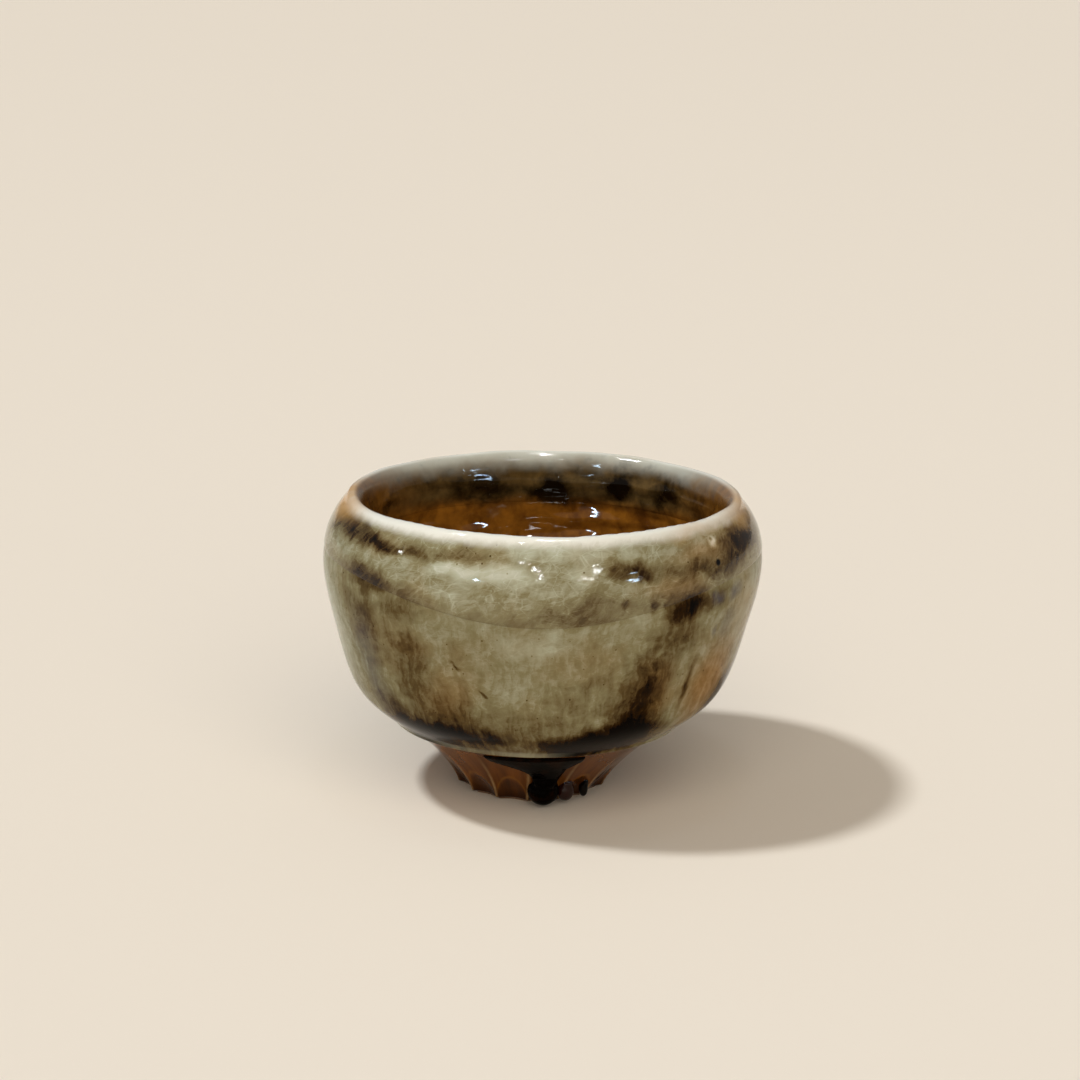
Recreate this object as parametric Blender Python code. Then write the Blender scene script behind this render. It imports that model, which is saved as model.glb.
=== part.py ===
"""A small wheel-thrown stoneware tea cup with a flared, knife-fluted foot.

The cup is built in the order a potter builds it. A thrown clay bowl and a clay foot
ring are joined with slip. The glaze then goes on in coats: a liner poured inside, a
first coat over the outside, a second coat into which the rim was dipped, and a thin
wash on the foot. Glaze that ran in the kiln stands on the foot as beads.

Metres, +Z up. The bowl's widest turn is centred over the origin, the sole of the foot
is at Z = 0, and the side with the glaze run faces -Y.
"""

import math

import bmesh
import bpy
from mathutils import Vector
from mathutils.geometry import interpolate_bezier

MM = 0.001

# Clearance between a coat and what it lies on, and between neighbours
FIT_GAP = 0.3 * MM

# Foot ring, which stands a little to one side under the bowl
FOOT_RADIUS = 11.0 * MM
FOOT_HEIGHT = 10.8 * MM
FOOT_FLARE = 9.0 * MM
FLARE_CURVE = 1.48
FOOT_SHIFT = 0.7 * MM
FOOT_WALL = 3.0 * MM
RECESS_TAPER = 0.7 * MM
FOOT_EDGE_ROUND = 0.5 * MM
FLUTE_COUNT = 15
FLUTE_DEPTH = 0.6 * MM
FLUTE_START = math.radians(-3.0)
SLIP_THICKNESS = 0.4 * MM

# Clay bowl, from the base up: each turn of the wall is set from the one below it or
# from the rim
BASE_SAG = 3.2 * MM
BASE_CURVE = 0.3
LEDGE_WIDTH = 2.5 * MM
LEDGE_RISE = 1.8 * MM
HIP_REACH = 5.1 * MM
HIP_RISE = 4.5 * MM
FLANK_FULLNESS = 0.8 * MM
BELLY_RADIUS = 32.7 * MM
BELLY_DROP = 9.4 * MM
SHOULDER_INSET = 1.4 * MM
SHOULDER_DROP = 3.0 * MM
LIP_INSET = 3.15 * MM
LIP_THICKNESS = 1.1 * MM
LIP_ROUND_OUTSIDE = 0.85 * MM
LIP_ROUND_INSIDE = 0.7 * MM
BOWL_HEIGHT = 35.35 * MM
SHOULDER_WALL = 2.0 * MM
WALL = 2.8 * MM
HIP_WALL = 3.6 * MM
FLOOR_THICKNESS = 4.4 * MM
FLOOR_RADIUS = 14.0 * MM
FLOOR_EDGE_RISE = 1.3 * MM
LEAN = 0.02

# Glaze coats
UNDER_COAT = 0.35 * MM
DIP_COAT = 0.45 * MM
LIP_BARE = 5.2 * MM
LIP_RAMP = 4.2 * MM
DIP_REACH_OUTSIDE = 8.2 * MM
DIP_SAG = 4.2 * MM
DIP_SAG_SHARPNESS = 8
DIP_REACH_INSIDE = 7.8 * MM
RUN_OFF = 0.35 * MM
EDGE_ROLL = 0.35 * MM
ROLL_SPREAD = 2.0 * MM
FOOT_WASH = 0.4 * MM
WASH_START = 0.9 * MM

# Glaze that ran down the front of the foot, and the large bead it ends in
RUN_TURN = math.radians(7.0)
RUN_SPAN = math.radians(44.0)
RUN_DROP = 2.1 * MM
RUN_RADIUS = 1.8 * MM
RUN_END = 0.3
NECK_WAIST = 0.05
RUN_BEAD_WIDTH = 4.6 * MM
RUN_BEAD_LENGTH = 4.6 * MM

# Smaller beads beside it, each at its turn from the one before
AMBER_TURN = RUN_TURN + math.radians(16.0)
AMBER_WIDTH = 2.4 * MM
AMBER_LENGTH = 3.0 * MM
SIDE_TURN = AMBER_TURN + math.radians(16.0)
SIDE_WIDTH = 1.5 * MM
SIDE_LENGTH = 3.2 * MM

# Shape of every bead: room above the table, how far its middle stands off the foot as
# a share of its width, how much wider it is at the bottom, and how far it follows the
# slope of the foot
BEAD_CLEARANCE = 0.5 * MM
BEAD_STAND = 0.12
BEAD_SWELL = 0.15
BEAD_SLOPE = 0.7

# Fineness of the facets
TURN_STEPS = 36
STEPS_PER_FLUTE = 4
SPAN_STEPS = 2
LIP_STEPS = 3
REBATE_ROWS = 3
FOOT_ROWS = 4
RUN_POINTS = 7
BEAD_SEGMENTS = 14
BEAD_RINGS = 8
SMALLEST = 0.001 * MM
SHARP_ANGLE = math.radians(35)

CLAY_COLOUR = (0.30, 0.19, 0.12, 1.0)
SLIP_COLOUR = (0.34, 0.24, 0.17, 1.0)
ASH_COLOUR = (0.27, 0.25, 0.16, 1.0)
CELADON_COLOUR = (0.33, 0.33, 0.22, 1.0)
LINER_COLOUR = (0.22, 0.11, 0.035, 1.0)
WASH_COLOUR = (0.16, 0.06, 0.02, 1.0)
RUN_COLOUR = (0.012, 0.010, 0.009, 1.0)
AMBER_COLOUR = (0.09, 0.025, 0.012, 1.0)

# Sizes that follow from the ones above
RECESS_RADIUS = FOOT_RADIUS - FOOT_WALL
RECESS_TOP_RADIUS = RECESS_RADIUS + RECESS_TAPER
FOOT_TOP_RADIUS = FOOT_RADIUS + FOOT_FLARE
EDGE_RADIUS = FOOT_TOP_RADIUS + LEDGE_WIDTH
EDGE_HEIGHT = FOOT_HEIGHT + LEDGE_RISE
HIP_RADIUS = EDGE_RADIUS + HIP_REACH
HIP_HEIGHT = EDGE_HEIGHT + HIP_RISE
RIM_HEIGHT = FOOT_HEIGHT + BOWL_HEIGHT
BELLY_HEIGHT = RIM_HEIGHT - BELLY_DROP
LIP_RADIUS = BELLY_RADIUS - LIP_INSET
BASE_HEIGHT = FOOT_HEIGHT - BASE_SAG
RUN_HEIGHT = FOOT_HEIGHT - RUN_DROP
FLOOR_HEIGHT = BASE_HEIGHT + FLOOR_THICKNESS
SLIP_LAYER = FIT_GAP + SLIP_THICKNESS + FIT_GAP
WASH_LAYER = FIT_GAP + FOOT_WASH
UNDER_LAYER = FIT_GAP + UNDER_COAT
DIP_LAYER = UNDER_LAYER + FIT_GAP + DIP_COAT
LOWEST_DIP = -(DIP_REACH_OUTSIDE + DIP_SAG)


def clear_scene():
    for obj in list(bpy.data.objects):
        bpy.data.objects.remove(obj)


def finish(name, colour, roughness):
    """A plain surface of one colour for a sub-part."""
    material = bpy.data.materials.new(name)
    material.use_nodes = True
    shader = material.node_tree.nodes["Principled BSDF"]
    shader.inputs["Base Color"].default_value = colour
    shader.inputs["Roughness"].default_value = roughness
    shader.inputs["Metallic"].default_value = 0.0
    return material


def smooth_step(value):
    value = min(1.0, max(0.0, value))
    return value * value * (3 - 2 * value)


def smooth_line(stations, span_steps):
    """Points on an even curve through the stations, which are (radius, height), with
    the given number of steps in each span."""
    points = [Vector((radius, 0.0, height)) for radius, height in stations]
    ends = [2 * points[0] - points[1], *points, 2 * points[-1] - points[-2]]
    chords = [math.sqrt((b - a).length) for a, b in zip(ends, ends[1:])]

    def tangent(i, chord):
        before = (ends[i] - ends[i - 1]) / chords[i - 1]
        across = (ends[i + 1] - ends[i - 1]) / (chords[i - 1] + chords[i])
        after = (ends[i + 1] - ends[i]) / chords[i]
        return (before - across + after) * chord / 3

    line = []
    for i, steps in enumerate(span_steps, start=1):
        start_handle = ends[i] + tangent(i, chords[i])
        end_handle = ends[i + 1] - tangent(i + 1, chords[i])
        line += interpolate_bezier(
            ends[i], start_handle, end_handle, ends[i + 1], steps + 1
        )[:-1]
    line.append(points[-1])
    return [Vector((point.x, point.z)) for point in line]


class SkinLine:
    """The clay's outline from under the base, up the outside, over the lip and down
    to the middle of the floor. A place on it is its distance along the line from the
    crest of the lip: below zero outside the cup, above zero inside."""

    def __init__(self):
        flank = (
            (HIP_RADIUS + BELLY_RADIUS) / 2 + FLANK_FULLNESS,
            (HIP_HEIGHT + BELLY_HEIGHT) / 2,
        )
        shoulder = (BELLY_RADIUS - SHOULDER_INSET, RIM_HEIGHT - SHOULDER_DROP)
        half_lip = LIP_THICKNESS / 2
        under = [
            (0.0, BASE_HEIGHT),
            (RECESS_RADIUS, BASE_HEIGHT + BASE_SAG * BASE_CURVE),
            (FOOT_TOP_RADIUS, FOOT_HEIGHT),
        ]
        outside = [
            (EDGE_RADIUS, EDGE_HEIGHT),
            (HIP_RADIUS, HIP_HEIGHT),
            flank,
            (BELLY_RADIUS, BELLY_HEIGHT),
            shoulder,
        ]
        lip = [
            (LIP_RADIUS + half_lip, RIM_HEIGHT - LIP_ROUND_OUTSIDE),
            (LIP_RADIUS, RIM_HEIGHT),
            (LIP_RADIUS - half_lip, RIM_HEIGHT - LIP_ROUND_INSIDE),
        ]
        inside = [
            (shoulder[0] - SHOULDER_WALL, shoulder[1] - SHOULDER_WALL / 2),
            (BELLY_RADIUS - WALL, BELLY_HEIGHT),
            (flank[0] - WALL, flank[1]),
            (HIP_RADIUS - HIP_WALL, HIP_HEIGHT + HIP_WALL / 2),
            (FLOOR_RADIUS, FLOOR_HEIGHT + FLOOR_EDGE_RISE),
            (0.0, FLOOR_HEIGHT),
        ]
        stations = [*under, *outside, *lip, *inside]
        steps = [SPAN_STEPS] * (len(stations) - 1)
        first = len(under) + len(outside) - 1
        for span in range(first, first + len(lip)):
            steps[span] = LIP_STEPS
        self.points = smooth_line(stations, steps)
        lengths = [(b - a).length for a, b in zip(self.points, self.points[1:])]
        crest = sum(steps[: first + 2])
        start = sum(lengths[:crest])
        self.places = [sum(lengths[:i]) - start for i in range(len(self.points))]
        self.edge = self.places[sum(steps[: len(under)])]
        self.floor = self.places[-1]

    def place_at_radius(self, radius):
        """The place under the base where the line has this radius."""
        for place, point, after in zip(self.places, self.points, self.points[1:]):
            if after.x >= radius:
                share = (radius - point.x) / (after.x - point.x)
                return place + share * (after - point).length
        raise ValueError("the base is narrower than that radius")

    def at(self, place, away=0.0):
        """The point at a place, moved away from the clay by some distance."""
        last = len(self.places) - 2
        i = next((i for i in range(last) if self.places[i + 1] >= place), last)
        a, b = self.points[i], self.points[i + 1]
        share = (place - self.places[i]) / (self.places[i + 1] - self.places[i])
        before = self.points[max(0, i - 1)]
        after = self.points[min(last + 1, i + 2)]
        along = (b - before).normalized().lerp((after - a).normalized(), share)
        along.normalize()
        return a.lerp(b, share) + away * Vector((along.y, -along.x))

    def stops(self, start, end, extra=()):
        """Places from start to end: both ends, the clay's own points, and the extra
        places, leaving out points that lie too close to one of those."""
        low, high = min(start, end), max(start, end)
        fixed = [start, end, *extra]
        own = [
            place
            for place in self.places
            if low < place < high and min(abs(place - f) for f in fixed) > FIT_GAP
        ]
        return sorted([*fixed, *own], reverse=start > end)

    def layer(self, start, end, away):
        """Points from one place to another, all at one distance from the clay."""
        return [self.at(place, away) for place in self.stops(start, end)]


def lean_at(height):
    """How far the cup leans to +X at a height, measured from its widest turn. Below
    the edge of the bowl it bends back to where the foot stands."""
    under = max(0.0, 1 - height / EDGE_HEIGHT)
    return LEAN * (height - BELLY_HEIGHT) - FOOT_SHIFT * under


def in_space(turn, radius, height):
    x = radius * math.sin(turn) + lean_at(height)
    return Vector((x, -radius * math.cos(turn), height))


def mesh_object(name, mesh, material):
    bmesh.ops.recalc_face_normals(mesh, faces=mesh.faces)
    data = bpy.data.meshes.new(name)
    mesh.to_mesh(data)
    mesh.free()
    data.shade_smooth()
    data.set_sharp_from_angle(angle=SHARP_ANGLE)
    data.materials.append(material)
    obj = bpy.data.objects.new(name, data)
    bpy.context.scene.collection.objects.link(obj)
    return obj


def spun(name, turns, section_at, material):
    """A solid of revolution. Each turn has its own closed section of (radius, height),
    and a point on the axis is shared by them all."""
    mesh = bmesh.new()
    rings = []
    for turn in turns:
        section = section_at(turn)
        rings.append([mesh.verts.new(in_space(turn, r, z)) for r, z in section])
    for ring, after in zip(rings, rings[1:] + rings[:1]):
        for i, vert in enumerate(ring):
            j = (i + 1) % len(ring)
            mesh.faces.new((vert, ring[j], after[j], after[i]))
    bmesh.ops.remove_doubles(mesh, verts=mesh.verts, dist=SMALLEST)
    bmesh.ops.dissolve_degenerate(mesh, edges=mesh.edges, dist=SMALLEST)
    return mesh_object(name, mesh, material)


def even_turns(count, start=0.0):
    return [start + 2 * math.pi * i / count for i in range(count)]


def turned(name, section, material):
    return spun(name, even_turns(TURN_STEPS), lambda turn: section, material)


def fluted(name, section_at, material):
    turns = even_turns(FLUTE_COUNT * STEPS_PER_FLUTE, FLUTE_START)
    return spun(name, turns, section_at, material)


def foot_radius(height):
    """The foot's outside before it is fluted: a cone that opens like a trumpet."""
    share = max(0.0, height / FOOT_HEIGHT)
    return FOOT_RADIUS + FOOT_FLARE * share**FLARE_CURVE


def foot_point(height, turn, away):
    """(radius, height) on the fluted foot, moved away from the clay. The flutes are
    hollows between sharp ridges, and they fade out towards the bowl."""
    step = FOOT_HEIGHT / 100
    slope = (foot_radius(height + step) - foot_radius(height)) / step
    normal = Vector((1.0, -slope)).normalized()
    hollow = abs(math.sin(FLUTE_COUNT * (turn - FLUTE_START) / 2))
    fade = 1 - smooth_step(height / FOOT_HEIGHT)
    radius = foot_radius(height) - FLUTE_DEPTH * fade * hollow
    return Vector((radius, height)) + away * normal


def meet(skin, away, base_away):
    """Where the foot's outside meets the base, each moved away from its clay: the
    height on the foot and the place on the base."""
    low = FOOT_HEIGHT / 2
    high = FOOT_HEIGHT
    for _ in range(30):
        height = (low + high) / 2
        point = foot_point(height, FLUTE_START, away)
        place = skin.place_at_radius(point.x)
        if point.y < skin.at(place, base_away).y:
            low = height
        else:
            high = height
    return low, place


def foot_wall(low, high, turn, away):
    """Points up the foot's outside, stopping one row short of the top."""
    rows = [low + (high - low) * row / FOOT_ROWS for row in range(FOOT_ROWS)]
    return [foot_point(height, turn, away) for height in rows]


def make_bowl(skin):
    return turned("bowl_wall", skin.points, finish("stoneware", CLAY_COLOUR, 0.8))


def make_foot_ring(skin):
    """The luted ring: fluted outside, hollow inside, its top cut to the base."""
    highest, outer = meet(skin, 0.0, SLIP_LAYER)
    inner = skin.place_at_radius(RECESS_TOP_RADIUS)
    top = skin.layer(outer, inner, SLIP_LAYER)

    def section(turn):
        wall = foot_wall(FOOT_EDGE_ROUND, highest, turn, 0.0)
        sole = [
            (RECESS_RADIUS, FOOT_EDGE_ROUND),
            (RECESS_RADIUS + FOOT_EDGE_ROUND, 0.0),
            (wall[0].x - FOOT_EDGE_ROUND, 0.0),
        ]
        return [*wall, *top, *sole]

    return fluted("foot_ring", section, finish("foot stoneware", CLAY_COLOUR, 0.85))


def make_slip_seam(skin):
    start = skin.place_at_radius(RECESS_TOP_RADIUS)
    end = meet(skin, 0.0, SLIP_LAYER)[1]
    near = skin.layer(start, end, FIT_GAP)
    far = skin.layer(end, start, FIT_GAP + SLIP_THICKNESS)
    return turned("slip_seam", near + far, finish("slip", SLIP_COLOUR, 0.9))


def roll_end(skin):
    """The place of the first coat's lower end, on the ledge under the bowl."""
    return skin.edge - EDGE_ROLL


def make_foot_wash(skin):
    """The thin coat on the foot, which runs on under the bowl to the first coat's
    roll and stops short of the sole."""
    end = roll_end(skin) - DIP_LAYER

    def face(turn, away):
        height, place = meet(skin, away, away)
        return foot_wall(WASH_START, height, turn, away) + skin.layer(place, end, away)

    def section(turn):
        return face(turn, FIT_GAP) + face(turn, WASH_LAYER)[::-1]

    return fluted("foot_glaze", section, finish("iron wash", WASH_COLOUR, 0.15))


def dip_edge(turn):
    """The place outside where the second coat ends. It sags at the front."""
    front = ((1 + math.cos(turn)) / 2) ** DIP_SAG_SHARPNESS
    return -(DIP_REACH_OUTSIDE + DIP_SAG * front)


def make_first_coat(skin):
    """The outside coat. It is rebated for the second coat above the dip line, and it
    ran down and stands as a round roll at its lower edge."""
    low = roll_end(skin)
    high = -LIP_BARE
    span = LOWEST_DIP - skin.edge
    near = skin.layer(low, high, FIT_GAP)

    def surface(place):
        run = smooth_step((place - skin.edge) / span)
        roll = math.exp(-(((place - low) / ROLL_SPREAD) ** 2))
        return DIP_LAYER - RUN_OFF * (1 - run) + EDGE_ROLL * roll

    below = skin.stops(low, LOWEST_DIP - 2 * FIT_GAP)
    thick = (surface(low) - FIT_GAP) / 2
    nose = skin.at(low - thick, FIT_GAP + thick)

    def section(turn):
        edge = dip_edge(turn) - FIT_GAP
        middle = (edge + below[-1]) / 2
        outer = [skin.at(place, surface(place)) for place in [*below, middle, edge]]
        row = (edge - high) / REBATE_ROWS
        rebate = [skin.at(high + row * i, UNDER_LAYER) for i in range(REBATE_ROWS + 1)]
        return [*near, *rebate, *outer[::-1], nose]

    material = finish("ash glaze", ASH_COLOUR, 0.12)
    return spun("outer_glaze", even_turns(TURN_STEPS), section, material)


def make_liner(skin):
    """The coat poured inside, from below the lip to the middle of the floor. It is
    rebated for the second coat too."""
    edge = DIP_REACH_INSIDE + FIT_GAP
    near = skin.layer(LIP_BARE, skin.floor, FIT_GAP)
    outer = [
        skin.at(place, DIP_LAYER - RUN_OFF * smooth_step((place - edge) / BELLY_RADIUS))
        for place in skin.stops(skin.floor, edge)
    ]
    rebate = skin.layer(edge, LIP_BARE, UNDER_LAYER)
    for point in (near[-1], outer[0]):
        point.x = 0.0
    section = [*near, *outer, *rebate]
    return turned("liner_glaze", section, finish("liner", LINER_COLOUR, 0.1))


def make_dip_coat(skin):
    """The second coat over the rim. It lies on the clay at the lip and in the rebates
    of the other coats below it."""
    high = DIP_REACH_INSIDE
    flat = LIP_BARE - FIT_GAP
    bends = [-flat, LIP_RAMP - flat, flat - LIP_RAMP, flat]
    fixed = skin.stops(-DIP_REACH_OUTSIDE + FIT_GAP, high, bends)[1:]

    def under(place):
        rise = smooth_step((abs(place) - flat + LIP_RAMP) / LIP_RAMP)
        return FIT_GAP + (UNDER_COAT + FIT_GAP) * rise

    def section(turn):
        low = dip_edge(turn)
        stops = [low, low + (fixed[0] - low) / 2, *fixed]
        near = [skin.at(place, under(place)) for place in stops]
        far = [skin.at(place, under(place) + DIP_COAT) for place in reversed(stops)]
        return near + far

    material = finish("celadon", CELADON_COLOUR, 0.08)
    return spun("dip_glaze", even_turns(TURN_STEPS), section, material)


def cutter(obj):
    """Keep a body that only shapes others out of the cup."""
    obj.hide_render = True
    obj.display_type = "WIRE"
    return obj


def combine(obj, other, operation):
    modifier = obj.modifiers.new(operation.title(), "BOOLEAN")
    modifier.operation = operation
    modifier.solver = "EXACT"
    modifier.object = other


def make_bead_limit(skin):
    """The room of the washed foot and base, which the run and the beads stay out of."""
    away = WASH_LAYER + FIT_GAP
    height, place = meet(skin, away, away)
    base = skin.layer(place, skin.edge, away)
    top = base[-1].y + LEDGE_WIDTH

    def section(turn):
        wall = foot_wall(0.0, height, turn, away)
        sole = [(0.0, -FOOT_EDGE_ROUND), (wall[0].x, -FOOT_EDGE_ROUND)]
        return [*sole, *wall, *base, (base[-1].x, top), (0.0, top)]

    return cutter(fluted("bead_limit", section, finish("limit", CLAY_COLOUR, 1.0)))


def on_foot(turn, height, away):
    """A point in space on the washed foot, moved away from it."""
    radius, level = foot_point(height, turn, WASH_LAYER + FIT_GAP + away)
    return in_space(turn, radius, level)


def make_bead(name, turn, width, length, material):
    """A drop of run glaze, standing on the foot just clear of the table."""
    height = length / 2 + BEAD_CLEARANCE
    lean = BEAD_SLOPE * (foot_radius(height) - foot_radius(height - length / 2))
    middle = on_foot(turn, height, width * BEAD_STAND)
    middle.z = height
    outward = Vector((math.sin(turn), -math.cos(turn), 0.0))
    across = Vector((math.cos(turn), math.sin(turn), 0.0))
    mesh = bmesh.new()
    bmesh.ops.create_uvsphere(
        mesh, u_segments=BEAD_SEGMENTS, v_segments=BEAD_RINGS, radius=1.0
    )
    for vert in mesh.verts:
        side, depth, up = vert.co
        half = width / 2 * (1 - BEAD_SWELL * up)
        place = across * side * half + outward * (depth * half + up * lean)
        vert.co = middle + place + Vector((0.0, 0.0, up * length / 2))
    return mesh_object(name, mesh, material)


def make_strand(name, points, thick, material):
    """A round strand through the points, with its own share of thickness at each."""
    curve = bpy.data.curves.new(name, "CURVE")
    curve.dimensions = "3D"
    curve.bevel_depth = RUN_RADIUS
    curve.bevel_resolution = 2
    curve.use_fill_caps = True
    spline = curve.splines.new("POLY")
    spline.points.add(len(points) - 1)
    for spot, point, share in zip(spline.points, points, thick):
        spot.co = (*point, 1.0)
        spot.radius = share
    path = bpy.data.objects.new(name + "_path", curve)
    bpy.context.scene.collection.objects.link(path)
    data = bpy.data.meshes.new_from_object(path)
    bpy.data.objects.remove(path)
    mesh = bmesh.new()
    mesh.from_mesh(data)
    bmesh.ops.remove_doubles(mesh, verts=mesh.verts, dist=SMALLEST)
    return cutter(mesh_object(name, mesh, material))


def make_run(limit):
    """The dark pool in the corner under the bowl, with the bead that hangs from it."""
    material = finish("run glaze", RUN_COLOUR, 0.05)
    obj = make_bead("glaze_run", RUN_TURN, RUN_BEAD_WIDTH, RUN_BEAD_LENGTH, material)
    shares = [i / (RUN_POINTS - 1) for i in range(RUN_POINTS)]
    pool = make_strand(
        "pool",
        [
            on_foot(RUN_TURN + RUN_SPAN * (share - 0.5), RUN_HEIGHT, 0.0)
            for share in shares
        ],
        [RUN_END + (1 - RUN_END) * math.sin(math.pi * share) for share in shares],
        material,
    )
    low = RUN_BEAD_LENGTH / 2 + BEAD_CLEARANCE
    neck = make_strand(
        "neck",
        [
            on_foot(RUN_TURN, RUN_HEIGHT + (low - RUN_HEIGHT) * share, 0.0)
            for share in shares
        ],
        [1 - NECK_WAIST * math.sin(math.pi * share) for share in shares],
        material,
    )
    combine(obj, pool, "UNION")
    combine(obj, neck, "UNION")
    combine(obj, limit, "DIFFERENCE")
    return obj


def make_small_beads(limit):
    amber = finish("amber glaze", AMBER_COLOUR, 0.05)
    bead = make_bead("amber_bead", AMBER_TURN, AMBER_WIDTH, AMBER_LENGTH, amber)
    combine(bead, limit, "DIFFERENCE")
    dark = finish("dark glaze", RUN_COLOUR, 0.05)
    streak = make_bead("side_bead", SIDE_TURN, SIDE_WIDTH, SIDE_LENGTH, dark)
    combine(streak, limit, "DIFFERENCE")


def main():
    clear_scene()
    skin = SkinLine()
    make_bowl(skin)
    make_foot_ring(skin)
    make_slip_seam(skin)
    make_first_coat(skin)
    make_liner(skin)
    make_dip_coat(skin)
    make_foot_wash(skin)
    limit = make_bead_limit(skin)
    make_run(limit)
    make_small_beads(limit)


main()
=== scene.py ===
"""Dresses a packed tea cup in its fired glazes and sets it on a plain studio floor.

The packed clay stays where it is. Each coat of glaze is turned again as a fine closed
shell on the clay's own outline, the run glaze on the foot is remade as soft drops, and
every surface gets a procedural finish. Metres, +Z up, the side with the glaze run
faces -Y.
"""

import math
from functools import partial

import bmesh
import bpy
from mathutils import Matrix, Vector
from mathutils.geometry import interpolate_bezier


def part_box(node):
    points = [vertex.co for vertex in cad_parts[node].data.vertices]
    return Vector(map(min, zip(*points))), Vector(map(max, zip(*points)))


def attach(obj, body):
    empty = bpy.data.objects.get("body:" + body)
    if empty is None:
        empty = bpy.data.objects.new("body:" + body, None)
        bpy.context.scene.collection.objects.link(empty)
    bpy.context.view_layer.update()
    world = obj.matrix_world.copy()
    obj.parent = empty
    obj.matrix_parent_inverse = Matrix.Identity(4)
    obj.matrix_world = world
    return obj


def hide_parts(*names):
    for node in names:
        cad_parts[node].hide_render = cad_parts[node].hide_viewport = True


bl_info = {
    "name": "Tea Cup Glazes",
    "version": (1, 0, 0),
    "blender": (4, 5, 0),
    "location": "View3D > Sidebar > Tea Cup",
    "description": "Turns the glaze coats of a stoneware tea cup and lights them",
    "category": "Add Mesh",
}

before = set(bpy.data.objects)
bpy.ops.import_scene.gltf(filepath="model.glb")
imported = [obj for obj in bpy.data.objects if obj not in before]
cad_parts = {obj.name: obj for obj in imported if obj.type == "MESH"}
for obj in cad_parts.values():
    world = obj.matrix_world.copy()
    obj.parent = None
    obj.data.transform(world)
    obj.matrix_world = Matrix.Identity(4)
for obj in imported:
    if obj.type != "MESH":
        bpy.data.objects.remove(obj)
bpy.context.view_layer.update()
BOWL_LOW, BOWL_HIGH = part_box("bowl_wall")

MM = 0.001
SMALLEST = 0.001 * MM

# Short names of the nodes that the trees use most, each with its kind and settings
SUMS = (
    "add", "subtract", "multiply", "divide", "multiply_add", "power", "sqrt", "exponent",
    "sine", "cosine", "absolute", "fract", "minimum", "maximum", "less_than",
)
VECTORS = ("add", "subtract", "multiply", "length", "normalize")
NODES = {
    **{name: ("ShaderNodeMath", {"operation": name.upper()}) for name in SUMS},
    **{"vector_" + name: ("ShaderNodeVectorMath", {"operation": name.upper()}) for name in VECTORS},
    "mix": ("ShaderNodeMix", {}),
    "paint": ("ShaderNodeMix", {"data_type": "RGBA"}),
    "range": ("ShaderNodeMapRange", {}),
    "ease": ("ShaderNodeMapRange", {"interpolation_type": "SMOOTHSTEP"}),
    "noise": ("ShaderNodeTexNoise", {}),
    "cells": ("ShaderNodeTexVoronoi", {}),
    "edges": ("ShaderNodeTexVoronoi", {"feature": "DISTANCE_TO_EDGE"}),
    "wind": ("ShaderNodeVectorRotate", {"rotation_type": "Z_AXIS"}),
    "tilt": ("ShaderNodeVectorRotate", {"rotation_type": "AXIS_ANGLE"}),
    "join": ("ShaderNodeCombineXYZ", {}),
    "split": ("ShaderNodeSeparateXYZ", {}),
    "attribute": ("ShaderNodeAttribute", {}),
}

# Clay under the coats, as it was thrown
FOOT_HEIGHT = 10.8 * MM
FLARE_CURVE = 1.48
FOOT_SHIFT = 0.7 * MM
BASE_CURVE = 0.3
LEDGE = (2.5 * MM, 1.8 * MM)
HIP_STEP = (5.1 * MM, 4.5 * MM)
FLANK_FULLNESS = 0.8 * MM
BELLY_DROP = 9.4 * MM
SHOULDER_STEP = (1.4 * MM, 3.0 * MM)
LIP_INSET = 3.15 * MM
LIP_ROUNDS = (0.85 * MM, 0.7 * MM)
LIP_THICKNESS = 1.1 * MM
WALLS = (2.0 * MM, 2.8 * MM, 3.6 * MM)
FLOOR_THICKNESS = 4.4 * MM
FLOOR_EDGE = (14.0 * MM, 1.3 * MM)
RECESS_RADIUS = 8.0 * MM
LEAN = 0.02
BELLY_HEIGHT = BOWL_HIGH.z - BELLY_DROP
EDGE_HEIGHT = FOOT_HEIGHT + LEDGE[1]

# Distances of the coats from the clay
CLEAR = 0.3 * MM
COAT_FACE = 1.38 * MM
LIP_FACE = 0.73 * MM
DIP_FILM = 0.1 * MM
FILM_GAP = 0.02 * MM
LIP_BARE = 5.2 * MM
WASH_FACE = 0.7 * MM

# Fineness of the turned meshes
SPAN_STEPS = 24
FOOT_ROWS = 6
COAT_TURNS = 288
FOOT_TURNS_PER_FLUTE = 24


def linear(hex_colour):
    """A scene-linear colour from an sRGB hex value."""
    channels = [int(hex_colour[i : i + 2], 16) / 255 for i in (1, 3, 5)]
    return tuple(c / 12.92 if c <= 0.04045 else ((c + 0.055) / 1.055) ** 2.4 for c in channels)


def size(name, description, metres):
    return bpy.props.FloatProperty(
        name=name, description=description, default=metres, unit="LENGTH", precision=5
    )


def colour(name, description, hex_colour):
    return bpy.props.FloatVectorProperty(
        name=name,
        description=description,
        default=linear(hex_colour),
        subtype="COLOR",
        min=0.0,
        max=1.0,
    )


def strength(name, description, amount):
    return bpy.props.FloatProperty(name=name, description=description, default=amount, min=0.0)


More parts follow.
